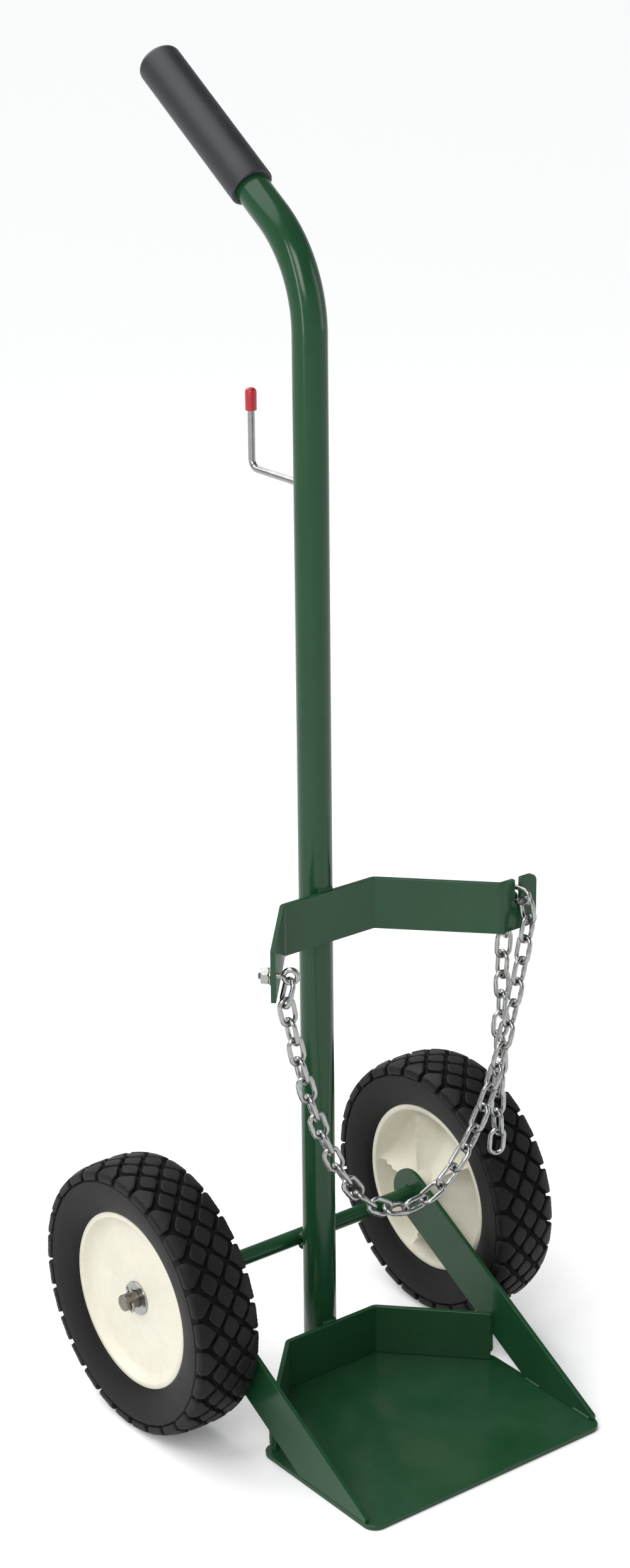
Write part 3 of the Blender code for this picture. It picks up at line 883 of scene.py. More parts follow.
def thicken(obj: bpy.types.Object, thickness: float, edge: float = 0.0007) -> None:
    """Gives a flat sheet its thickness behind its face, and eases its edges."""
    add_modifier(obj, "SOLIDIFY", thickness=thickness, offset=-1.0, use_even_offset=True)
    add_modifier(
        obj,
        "BEVEL",
        width=edge,
        segments=3,
        limit_method="ANGLE",
        angle_limit=math.radians(40),
        harden_normals=True,
    )


def flat_sheet(name: str, outline: Sequence[tuple[float, float]], thickness: float) -> bpy.types.Object:
    """A flat plate in X and Y, its top at the outline's plane."""
    work = bmesh.new()
    face = work.faces.new([work.verts.new((x, y, 0)) for x, y in outline])
    face.normal_update()
    if face.normal.z < 0:
        face.normal_flip()
    mesh = bpy.data.meshes.new(name)
    work.to_mesh(mesh)
    work.free()
    mesh.shade_smooth()
    obj = bpy.data.objects.new(name, mesh)
    bpy.context.scene.collection.objects.link(obj)
    thicken(obj, thickness)
    return obj


# ---- The welded carrier ----


@dataclass
class Carrier:
    """The toe plate, the two cradle straps, the struts and the axle, with their weld beads."""

    datum: Datum
    bar: float = 0.00476
    width: float = 0.0508
    tube_radius: float = 0.015875
    gap: float = 0.0003
    wing_angle: float = math.radians(46)
    middle_half: float = 0.0525
    wing: float = 0.119
    left_half: float = 0.0515
    left_wing: float = 0.1035
    left_angle: float = math.radians(48.3)
    upper_z: float = 0.459
    flange: float = 0.0435
    flange_round: float = 0.0075
    slot_offset: float = 0.0205
    slot_width: float = 0.0072
    slot_depth: float = 0.0254
    bend_radius: float = 0.004
    plate_front: float = -0.257
    plate_rear: float = -0.088
    plate_round: float = 0.013
    strut_x: float = 0.135
    strut_angle: float = math.radians(29.05)
    strut_tip: float = -0.246
    axle_y: float = 0.0275
    axle_z: float = 0.1325
    axle_radius: float = 0.0079375
    axle_half: float = 0.2115

    @property
    def back_y(self) -> float:
        """The straps' back face, against the mast."""
        return -(self.tube_radius + self.gap)

    @property
    def front_y(self) -> float:
        """The straps' front face."""
        return self.back_y - self.bar

    @property
    def plate_half(self) -> float:
        """Half of the plate's width."""
        return self.strut_x + self.bar

    @property
    def lower_wing(self) -> float:
        """The lower strap's wing, which just reaches the strut."""
        corner = self.strut_x - self.gap - self.bar * math.sin(self.wing_angle)
        return (corner - self.middle_half) / math.cos(self.wing_angle)

    def trough(self, left: tuple[float, float, float], right: tuple, flange: float) -> np.ndarray:
        """The front line of a strap, from its left end to its right one.

        Args:
            left: The left bend's distance from the middle, the wing's length and its angle.
            right: The same for the right side.
            flange: The length of the flange beyond the right wing, or zero.

        Returns:
            The points of the line.
        """
        bends, ends = [], []
        for sign, (half, wing, angle) in ((-1, left), (1, right)):
            bends.append(np.array([sign * half, self.front_y]))
            lean = np.array([sign * math.cos(angle), -math.sin(angle)])
            ends.append(bends[-1] + lean * wing)
        corners = [ends[0], *bends, ends[1]]
        radii = [self.bend_radius, self.bend_radius]
        if flange:
            corners.append(corners[-1] + np.array([flange, 0.0]))
            radii.append(self.bend_radius + self.bar)
        return rounded_line([tuple(c) for c in corners], radii, 10)

    def wing_end(self) -> tuple[float, float]:
        """The corner between the upper strap's right wing and its flange."""
        x = self.middle_half + self.wing * math.cos(self.wing_angle)
        return x, self.front_y - self.wing * math.sin(self.wing_angle)

    def build(self) -> None:
        """Makes every welded piece."""
        self.build_straps()
        self.build_plate()
        self.build_struts()
        self.build_axle()
        self.build_welds()

    def build_straps(self) -> None:
        """Both straps; the upper one has the slotted flange."""
        left = (self.left_half, self.left_wing, self.left_angle)
        right = (self.middle_half, self.wing, self.wing_angle)
        upper = BentBar(self.trough(left, right, self.flange), self.upper_z)
        end, top = upper.length, self.width
        round_, half = self.flange_round, self.slot_width / 2
        slot = end - self.flange + self.slot_offset
        bottom = top - self.slot_depth + half
        outline = [(0.0, 0.0)]
        outline += arc((end - round_, round_), round_, -90, 0, 8)
        outline += arc((end - round_, top - round_), round_, 0, 90, 8)
        outline += arc((slot + half + 0.001, top - 0.001), 0.001, 90, 180, 3)
        outline += [p for p in arc((slot, bottom), half, 0, -180, 12)]
        outline += arc((slot - half - 0.001, top - 0.001), 0.001, 0, 90, 3)
        outline.append((0.0, top))
        obj = upper.bend("upper_strap", outline)
        finish_piece(obj, GREEN_ENAMEL, Body.FRAME, ["upper_cradle_strap"], self.datum.shift())
        side = (self.middle_half, self.lower_wing, self.wing_angle)
        lower = BentBar(self.trough(side, side, 0.0), self.bar + self.gap)
        square = [(0.0, 0.0), (lower.length, 0.0), (lower.length, top), (0.0, top)]
        obj = lower.bend("lower_strap", square)
        finish_piece(obj, GREEN_ENAMEL, Body.FRAME, ["lower_cradle_strap"], self.datum.shift())

    def build_plate(self) -> None:
        """The toe plate, square in front and following the lower strap behind."""
        back = self.middle_half - self.bar * math.tan(self.wing_angle / 2)
        reach = (self.back_y - self.plate_rear) / math.tan(self.wing_angle)
        half = [
            (self.plate_half, self.plate_front, self.plate_round),
            (self.plate_half, self.plate_rear, self.plate_round),
            (back + reach + self.bar, self.plate_rear, 0.0),
            (back + self.bar, self.back_y, 0.0),
        ]
        outline = rounded_shape(half + [(-x, y, r) for x, y, r in reversed(half)])
        obj = flat_sheet("plate", outline, self.bar)
        where = Matrix.Translation(self.datum.world(0, 0, self.bar))
        finish_piece(obj, GREEN_ENAMEL, Body.FRAME, ["toe_plate"], where)

    def strut_outline(self) -> list[tuple[float, float]]:
        """The strut's side view, as (y, z)."""
        along = Vector((-math.cos(self.strut_angle), -math.sin(self.strut_angle)))
        up = Vector((-along.y * -1, -along.x))
        axle, half, foot = Vector((self.axle_y, self.axle_z)), self.width / 2, self.bar + self.gap
        upper, lower = axle + up * half, axle - up * half
        tip = upper + along * ((self.strut_tip - upper.x) / along.x)
        heel = lower + along * ((foot - lower.y) / along.y)
        start = math.degrees(math.atan2(-up.y, -up.x))
        outline = [tuple(tip), (self.strut_tip, foot), tuple(heel)]
        return outline + arc(tuple(axle), half, start, start + 180, 24)

    def build_struts(self) -> None:
        """The two flat bars on edge, from the axle to the plate's front corners."""
        stand = Matrix(((0, 0, 1, 0), (1, 0, 0, 0), (0, 1, 0, 0), (0, 0, 0, 1)))
        for side in Side:
            obj = flat_sheet(f"{side.word}_side_bar", self.strut_outline(), self.bar)
            x = self.strut_x + self.bar if side is Side.RIGHT else -self.strut_x
            place = Matrix.Translation(self.datum.world(x, 0, 0)) @ stand
            finish_piece(obj, GREEN_ENAMEL, Body.FRAME, [f"{side.word}_strut"], place)

    def build_axle(self) -> None:
        """A painted bar between the struts, left bare where the wheels run."""
        radius, end = self.axle_radius, self.axle_half
        sideways = Matrix.Translation(self.datum.axle) @ Matrix.Rotation(math.pi / 2, 4, "Y")
        middle = self.strut_x + self.bar
        profile = [(0.0, middle), (radius, middle), (radius, 0.0), (radius, -middle), (0.0, -middle)]
        verts, faces = turned(profile, 40, loop=False)
        bar = mesh_object("axle_bar", verts, faces)
        finish_piece(bar, GREEN_ENAMEL, Body.FRAME, ["axle"], sideways)
        for side in Side:
            profile = [(radius, middle), (radius, end - 0.0014)]
            profile += arc((radius - 0.0014, end - 0.0014), 0.0014, 0, 80, 5)
            profile += [(0.0012, end - 0.0002), (0.0, end - 0.0006)]
            verts, faces = turned(profile, 40, loop=False)
            stub = mesh_object(f"{side.word}_axle_end", verts, faces)
            turn = Matrix.Rotation(side.value * math.pi / 2, 4, "Y")
            place = Matrix.Translation(self.datum.axle) @ turn
            finish_piece(stub, BARE_STEEL, Body.FRAME, (), place)

    def build_welds(self) -> None:
        """A bead wherever two pieces meet."""
        runs = self.mast_runs() + self.strap_runs() + self.strut_runs() + self.hook_runs()
        parts = [weld_bead([Vector(p) for p in line], size) for line, size in runs]
        verts, faces = merge(parts)
        obj = mesh_object("weld_beads", verts, faces, 70)
        finish_piece(obj, GREEN_ENAMEL, Body.FRAME, (), self.datum.shift())

    def mast_runs(self) -> list:
        """Beads where the mast meets the straps, the plate and the axle."""
        runs = []
        for low in (self.upper_z, self.bar + self.gap):
            for sign in (-1, 1):
                x, y = sign * 0.0052, self.back_y + 0.0006
                runs.append((((x, y, low + 0.004), (x, y, low + self.width - 0.004)), 0.0026))
            for z in (low + self.width, low):
                bow = [(-0.008, self.back_y + 0.0015, z), (0, self.back_y + 0.0008, z)]
                runs.append(([*bow, (0.008, self.back_y + 0.0015, z)], 0.0022))
        for z, lift in ((self.axle_z + 0.0052, 1), (self.axle_z - 0.0052, -1)):
            y = (self.tube_radius + self.axle_y - self.axle_radius) / 2 + 0.0002
            runs.append((((-0.010, y + 0.001, z), (0, y, z + 0.0006 * lift), (0.010, y + 0.001, z)), 0.0034))
        runs.append((((-0.013, self.back_y + 0.0125, 0.0026), (-0.006, self.back_y + 0.0016, 0.0026)), 0.002))
        runs.append((((0.013, self.back_y + 0.0125, 0.0026), (0.006, self.back_y + 0.0016, 0.0026)), 0.002))
        return runs

    def strap_runs(self) -> list:
        """Beads along the lower strap's back edge on the plate."""
        lean = Vector((math.cos(self.wing_angle), -math.sin(self.wing_angle)))
        floor = self.bar + 0.0004
        runs = []
        back = self.middle_half - self.bar * math.tan(self.wing_angle / 2)
        for sign in (-1, 1):
            for start, end in ((0.012, 0.034), (0.075, 0.098)):
                line = []
                for share in (0.0, 0.5, 1.0):
                    reach = start + (end - start) * share
                    x = back + lean.x * reach + 0.0006
                    line.append((sign * x, self.back_y + lean.y * reach + 0.0006, floor))
                runs.append((line, 0.0021))
        return runs

    def strut_runs(self) -> list:
        """Beads between the struts, the plate, the lower strap and the axle."""
        runs = []
        foot = self.bar + 0.0004
        for sign in (-1, 1):
            inner, outer = sign * self.strut_x, sign * (self.strut_x + self.bar)
            runs.append((((inner, -0.243, foot), (inner, -0.218, foot)), 0.0022))
            runs.append((((inner, -0.172, foot), (inner, -0.150, foot)), 0.0022))
            runs.append((((outer, -0.1475, foot), (inner, -0.1475, foot)), 0.0024))
            corner = self.front_y - self.lower_wing * math.sin(self.wing_angle)
            x = inner - sign * 0.0008
            runs.append((((x, corner + 0.003, 0.012), (x, corner + 0.003, 0.050)), 0.0023))
            ring = []
            for step in range(9):
                angle = math.radians(200 + 220 * step / 8)
                reach = self.axle_radius + 0.0006
                ring.append(
                    (inner, self.axle_y + reach * math.cos(angle), self.axle_z + reach * math.sin(angle))
                )
            runs.append((ring, 0.0022))
        return runs

    def hook_runs(self) -> list:
        """A bead round the hook's foot."""
        ring = []
        for step in range(13):
            angle = FULL_TURN * step / 12
            x, z = 0.0038 * math.cos(angle), 0.0038 * math.sin(angle)
            ring.append((x, math.sqrt(self.tube_radius**2 - x * x) + 0.0003, 0.889 + z))
        return [(ring, 0.0019)]


def weld_bead(corners: Sequence[Vector], radius: float) -> tuple[np.ndarray, Faces]:
    """A rippled bead of weld along a line.

    Args:
        corners: The line's points.
        radius: The bead's radius.

    Returns:
        The vertices and faces.
    """
    marks = [0.0]
    for one, other in zip(corners, corners[1:]):
        marks.append(marks[-1] + (other - one).length)
    count = max(8, int(marks[-1] / 0.0006))
    path, radii = [], []
    for i in range(count + 1):
        along = marks[-1] * i / count
        k = min(int(np.searchsorted(marks, along, side="right")) - 1, len(corners) - 2)
        share = (along - marks[k]) / (marks[k + 1] - marks[k])
        point = corners[k].lerp(corners[k + 1], min(share, 1.0))
        ends = min(i, count - i) / count * marks[-1] / radius
        swell = math.sqrt(min(1.0, max(0.02, ends * (2 - min(ends, 1.0)))))
        ripple = 1 + 0.13 * math.sin(along * FULL_TURN / 0.0024) + 0.18 * wobble(point, 260.0)
        path.append(tuple(point))
        radii.append(radius * swell * ripple)
    return tube(path, radii, 12)


# ---- Wheels ----


@dataclass
class TyreSection:
    """The tyre's section as a line from the crown outwards, measured along itself."""

    radius: float
    half: float = 0.0322
    drop: float = 0.0052
    bore: float = 0.0868
    bead: float = 0.0233

    def __post_init__(self) -> None:
        """Samples the section and measures along it."""
        across = np.linspace(0.0, 1.0, 60)
        x = self.half * np.sin(across * math.pi / 2) ** 0.92
        r = self.radius - self.drop * np.abs(x / self.half) ** 3.6
        side = np.array(
            [
                (0.0331, self.radius - 0.0085),
                (0.0331, 0.118),
                (0.0322, 0.110),
                (0.0305, 0.102),
                (0.0285, 0.0955),
                (0.0265, 0.0905),
                (self.bead + 0.0004, self.bore),
            ]
        )
        self.x = np.concatenate([x, side[:, 0]])
        self.r = np.concatenate([r, side[:, 1]])
        steps = np.hypot(np.diff(self.x), np.diff(self.r))
        self.marks = np.concatenate([[0.0], np.cumsum(steps)])

    def at(self, across: float, lift: float) -> tuple[float, float]:
        """The axial place and radius, that far across from the crown and lifted off the skin."""
        reach = min(abs(across), float(self.marks[-1]))
        x = float(np.interp(reach, self.marks, self.x))
        r = float(np.interp(reach, self.marks, self.r))
        ahead, behind = min(reach + 0.0008, self.marks[-1]), max(reach - 0.0008, 0.0)
        dx = float(np.interp(ahead, self.marks, self.x) - np.interp(behind, self.marks, self.x))
        dr = float(np.interp(ahead, self.marks, self.r) - np.interp(behind, self.marks, self.r))
        size = math.hypot(dx, dr)
        sign = math.copysign(1.0, across)
        return sign * (x - dr / size * lift), r + dx / size * lift


@dataclass
class Tyre:
    """A tyre with diamond blocks: two rows of them, a staggered row between, and shoulder lugs."""

    radius: float = 0.1325
    count: int = 28
    depth: float = 0.0045
    row: float = 0.013
    groove: float = 0.0040
    tip: float = 0.0022
    lug_reach: float = 0.0405
    lug_gap: float = 0.0046
    steps: int = 168

    def mesh(self) -> tuple[np.ndarray, Faces]:
        """Builds the carcass and every block, round the Z axis, as one mesh."""
        parts = [self.carcass()]
        pitch = FULL_TURN / self.count
        for i in range(self.count):
            for sign in (-1, 1):
                parts.append(self.block(self.diamond(), sign * self.row, pitch * i))
                parts.append(self.block(self.lug(sign), 0.0, pitch * (i + 0.5)))
            parts.append(self.block(self.diamond(), 0.0, pitch * (i + 0.5)))
        return merge(parts)

    def groove_faces(self) -> list[int]:
        """The carcass faces that lie between the blocks, by number; they get the darker rubber, painted shade
        in the grooves.
        """
        share = (self.lug_reach - 0.003) / float(TyreSection(self.radius).marks[-1])
        rows = [i for i in range(60) if abs((i + 0.5) / 30 - 1) < share]
        return [row * self.steps + step for row in rows for step in range(self.steps)]

    @property
    def half_pitch(self) -> float:
        """Half of the distance between blocks round the tread."""
        return math.pi * self.radius / self.count

    def carcass(self) -> tuple[np.ndarray, Faces]:
        """The tyre's body at the bottom of the grooves."""
        section = TyreSection(self.radius)
        profile = []
        for share in np.linspace(-1, 1, 61):
            across = share * section.marks[-1]
            outer = abs(across) - self.lug_reach
            depth = self.depth * (1 - min(max(outer / 0.004 + 0.5, 0.0), 1.0))
            x, r = section.at(across, -depth)
            profile.append((r, -x))
        inner = [(section.bore, section.bead), (section.bore, -section.bead)]
        return turned(profile + inner, self.steps)

    def diamond(self) -> list[tuple[float, float]]:
        """A block's outline with its side tips cut off, as (across, round)."""
        shrink = self.groove / 2 * math.hypot(1 / self.row, 1 / self.half_pitch)
        wide, tall = self.row * (1 - shrink), self.half_pitch * (1 - shrink)
        cut_wide, cut_tall = self.tip / self.row, self.tip * 0.4 / self.half_pitch
        corners = [
            (wide * (1 - cut_wide), tall * cut_wide),
            (wide * cut_tall, tall * (1 - cut_tall)),
            (-wide * cut_tall, tall * (1 - cut_tall)),
            (-wide * (1 - cut_wide), tall * cut_wide),
        ]
        return corners + [(x, -y) for x, y in reversed(corners)]

    def lug(self, sign: int) -> list[tuple[float, float]]:
        """A shoulder lug's outline: a point between the diamonds and a tail over the shoulder."""
        shrink = self.groove / 2 * math.hypot(1 / self.row, 1 / self.half_pitch)
        point = self.row * (1 + shrink) + 0.0006
        side = self.half_pitch - self.lug_gap / 2
        meet = point + side / self.half_pitch * self.row
        corners = [
            (point, 0.0),
            (meet, side),
            (meet + 0.004, side),
            (self.lug_reach, side * 0.93),
            (self.lug_reach, -side * 0.93),
            (meet + 0.004, -side),
            (meet, -side),
        ]
        return [(sign * x, y) for x, y in corners]

    def block(
        self, outline: list[tuple[float, float]], across: float, angle: float
    ) -> tuple[np.ndarray, Faces]:
        """Raises one block from its outline.

        Args:
            outline: The outline as (across, round) about the block's own middle.
            across: The block's middle across the tread.
            angle: Its angle round the tyre.

        Returns:
            The vertices and faces.
        """
        section = TyreSection(self.radius) if not hasattr(self, "_section") else self._section
        self._section = section
        ring = self.eased(np.array(outline))
        middle = ring.mean(0)
        size = float(np.abs(ring - middle).max())
        levels = [(1 + 0.0007 / size, -self.depth - 0.0008), (1.0, -0.0007), (1 - 0.0004 / size, -0.0002)]
        levels += [(1 - 0.0010 / size, 0.0), (0.72, 0.0), (0.42, 0.0), (0.16, 0.0)]
        verts: list[tuple[float, float, float]] = []
        for scale, lift in levels:
            for u, v in middle + (ring - middle) * scale:
                verts.append(self.place(section, across + u, angle + v / self.radius, lift))
        count = len(ring)
        faces: Faces = []
        for level in range(len(levels) - 1):
            here, there = level * count, (level + 1) * count
            for j in range(count):
                k = (j + 1) % count
                faces.append((here + j, here + k, there + k, there + j))
        faces.append(tuple(range((len(levels) - 1) * count, len(levels) * count)))
        return np.array(verts), faces

    @staticmethod
    def place(
        section: TyreSection, across: float, angle: float, lift: float
    ) -> tuple[float, float, float]:
        """A point of the tread in space, round the Z axis."""
        x, r = section.at(across, lift)
        return r * math.cos(angle), r * math.sin(angle), x

    @staticmethod
    def eased(outline: np.ndarray, spacing: float = 0.0022) -> np.ndarray:
        """Adds points along an outline's sides and rounds its corners slightly."""
        points = []
        for i, here in enumerate(outline):
            after = outline[(i + 1) % len(outline)]
            parts = max(1, int(np.linalg.norm(after - here) / spacing))
            points += [here + (after - here) * (k / parts) for k in range(parts)]
        ring = np.array(points)
        return ring * 0.5 + (np.roll(ring, 1, 0) + np.roll(ring, -1, 0)) * 0.25


@dataclass
class Hub:
    """A moulded hub: a plain dished face outside, and five curved arms inside."""

    arms: int = 5
    rim: float = 0.0865
    half: float = 0.0233
    wall: float = 0.0062
    face: float = 0.014
    boss_end: float = 0.0355
    boss: float = 0.0185
    bore: float = 0.0080
    phase: float = math.radians(10)
    steps: int = 240

    def outer_height(self, radius: float, angle: float) -> float:
        """The outboard face: nearly flat, faintly creased over the arms."""
        edge = self.rim - self.wall
        rise = max(0.0, (radius - (edge - 0.0075)) / 0.0075)
        crease = abs(math.cos(self.arms / 2 * (angle - self.phase))) ** 40
        inside = math.exp(-(((radius - 0.052) / 0.014) ** 2))
        boss = 0.0006 * max(0.0, 1 - max(0.0, radius - 0.019) / 0.0015)
        return self.face + boss + 0.0078 * rise**2 - 0.0008 * crease * inside

    def inner_height(self, radius: float, angle: float) -> float:
        """The inboard face: arms that fall from the boss to the rim, with bowls between."""
        edge = self.rim - self.wall
        reach = min(max((radius - self.boss) / (edge - self.boss), 0.0), 1.0)
        turn = self.arms * (angle - self.phase - 0.42 * reach * 0.35) / 2
        ridge = 1 - abs(math.sin(turn)) ** 0.85
        floor = -0.020 + 0.026 * math.sin(min(reach * 1.15, 1.0) * math.pi / 2)
        top = -0.0275 + 0.0105 * reach
        lift = ridge ** (1.0 + 0.9 * reach)
        height = floor + (top - floor) * lift
        wall = max(0.0, (radius - (edge - 0.010)) / 0.010) ** 2.4
        return height * (1 - wall) + (-self.half + 0.001) * wall

    def mesh(self) -> tuple[np.ndarray, Faces]:
        """Builds the hub round the Z axis, outboard up, as one closed mesh."""
        edge = self.rim - self.wall
        radii_out = np.concatenate([np.linspace(self.bore, 0.022, 6), np.linspace(0.024, edge, 34)])
        radii_in = np.linspace(self.boss, edge, 44)
        rows: list[list[tuple[float, float]]] = []
        for step in range(self.steps):
            angle = FULL_TURN * step / self.steps
            line = [(float(r), self.outer_height(float(r), angle)) for r in radii_out]
            line += [(edge + 0.0003, self.half - 0.0009), (edge + 0.001, self.half)]
            line += [(self.rim - 0.0008, self.half), (self.rim, self.half - 0.0008)]
            line += [(self.rim, -self.half + 0.0008), (self.rim - 0.0008, -self.half)]
            line += [(edge + 0.001, -self.half)]
            line += [(float(r), self.inner_height(float(r), angle)) for r in radii_in[::-1]]
            line += [(self.boss - 0.0004, -self.boss_end + 0.0008), (self.boss - 0.0012, -self.boss_end)]
            line += [(self.bore, -self.boss_end)]
            rows.append(line)
        count = len(rows[0])
        verts = [
            (r * math.cos(FULL_TURN * i / self.steps), r * math.sin(FULL_TURN * i / self.steps), h)
            for i, line in enumerate(rows)
            for r, h in line
        ]
        faces: Faces = []
        for i in range(self.steps):
            here, there = i * count, (i + 1) % self.steps * count
            for j in range(count):
                k = (j + 1) % count
                faces.append((here + j, there + j, there + k, here + k))
        return np.array(verts), faces


@dataclass
class Wheels:
    """Both wheels, with the washers and split pins that keep them on the axle."""

    datum: Datum
    carrier: Carrier
    tyre: Tyre = field(default_factory=Tyre)
    hub: Hub = field(default_factory=Hub)
    washer_radius: float = 0.0165
    washer: float = 0.0022
    pin_x: float = 0.2035
    pin_wire: float = 0.0013
    pin_rise: float = 0.0016
    pin_drop: float = 0.0007
    pin_clearance: float = 0.0006
    pin_lean: float = 0.0030
    pin_eye_width: float = 0.0036
    pin_eye_height: float = 0.0034
    pin_eye_lift: float = 0.0028
    pin_leg_ends: tuple[tuple[int, float], ...] = ((-1, 20), (1, -8))
    pin_leg_start: float = -78

    def build(self) -> None:
        """Makes both sides."""
        tread, hub = self.tyre.mesh(), self.hub.mesh()
        for side in Side:
            low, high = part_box(f"{side.word}_tire")
            centre = (low + high) / 2
            turn = Matrix.Rotation(side.value * math.pi / 2, 4, "Y")
            spin = Matrix.Rotation(math.radians(3.5 if side is Side.LEFT else 1.0), 4, "Z")
            place = Matrix.Translation(centre) @ turn
            tyre = mesh_object(f"{side.word}_tyre", *tread, 32)
            finish_piece(tyre, TYRE_RUBBER, side.wheel, [f"{side.word}_tire"], place @ spin)
            # The carcass between the blocks gets the darker copy of the rubber: painted shade in the grooves.
            tyre.data.materials.append(GROOVE_SHADE_RUBBER.make())
            for number in self.tyre.groove_faces():
                tyre.data.polygons[number].material_index = 1
            body = mesh_object(f"{side.word}_wheel_hub", *hub, 50)
            finish_piece(body, HUB_PLASTIC, side.wheel, [f"{side.word}_hub"], place)
            self.build_bushing(side, place)
            self.build_washers(side)
            self.build_pin(side)

    def build_bushing(self, side: Side, place: Matrix) -> None:
        """The sleeve that runs on the axle, just showing at the hub's face."""
        inner, outer = self.carrier.axle_radius + 0.0002, self.hub.bore + 0.0022
        top, bottom = self.hub.face + 0.0002, -self.hub.boss_end - 0.0001
        profile = [(outer, top - 0.0003), (outer, bottom + 0.0003), (inner, bottom), (inner, top)]
        verts, faces = turned(profile, 40)
        obj = mesh_object(f"{side.word}_bushing", verts, faces)
        finish_piece(obj, BARE_STEEL, side.wheel, [f"{side.word}_hub_bushing"], place)

    def build_washers(self, side: Side) -> None:
        """A plain washer against each end of the hub."""
        inner, outer, half = self.carrier.axle_radius + 0.0003, self.washer_radius, self.washer / 2
        ease = 0.0004
        profile = [(outer - ease, half), (outer, half - ease), (outer, -half + ease)]
        profile += [(outer - ease, -half), (inner + ease, -half), (inner, -half + ease)]
        profile += [(inner, half - ease), (inner + ease, half)]
        for word in ("inner", "outer"):
            low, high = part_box(f"{side.word}_{word}_washer")
            verts, faces = turned(profile, 56)
            obj = mesh_object(f"{side.word}_{word}_flat_washer", verts, faces, 30)
            place = Matrix.Translation((low + high) / 2) @ Matrix.Rotation(math.pi / 2, 4, "Y")
            finish_piece(obj, BRIGHT_ZINC, Body.FRAME, [f"{side.word}_{word}_washer"], place)

    def build_pin(self, side: Side) -> None:
        """A split pin: an eye above the axle, and two legs bent apart round it from below."""
        wire, axle = self.pin_wire, self.carrier.axle_radius
        x, low, top = self.pin_x, -axle - self.pin_drop, axle + self.pin_rise
        wrap = axle + wire + self.pin_clearance
        start, steps = self.pin_leg_start, 14
        parts = []
        for sign, end in self.pin_leg_ends:
            offset = sign * wire * 0.82
            line = [(x, offset, top - (top - low) * i / 6) for i in range(7)]
            for i in range(steps + 1):
                turn = math.radians(start + (end - start) * i / steps)
                lean = x + self.pin_lean * i / steps
                line.append((lean, sign * wrap * math.cos(turn), wrap * math.sin(turn)))
            parts.append(tube([Vector(point) for point in line], wire, 14))
        width, height, lift = self.pin_eye_width, self.pin_eye_height, self.pin_eye_lift
        eye = [(x, width * math.cos(a), top + lift + height * math.sin(a)) for a in eye_angles()]
        parts.append(tube(eye, wire, 14))
        verts, faces = merge(parts)
        verts = verts * np.array([side.value, 1, 1])
        obj = mesh_object(f"{side.word}_split_pin", verts, faces)
        place = Matrix.Translation(self.datum.axle)
        finish_piece(obj, BRIGHT_ZINC, Body.FRAME, [f"{side.word}_cotter_pin"], place)


def eye_angles() -> list[float]:
    """The turn of a split pin's eye, open at the shank."""
    return [math.radians(-65 + 310 * i / 20) for i in range(21)]


# ---- Chain and its fixings ----


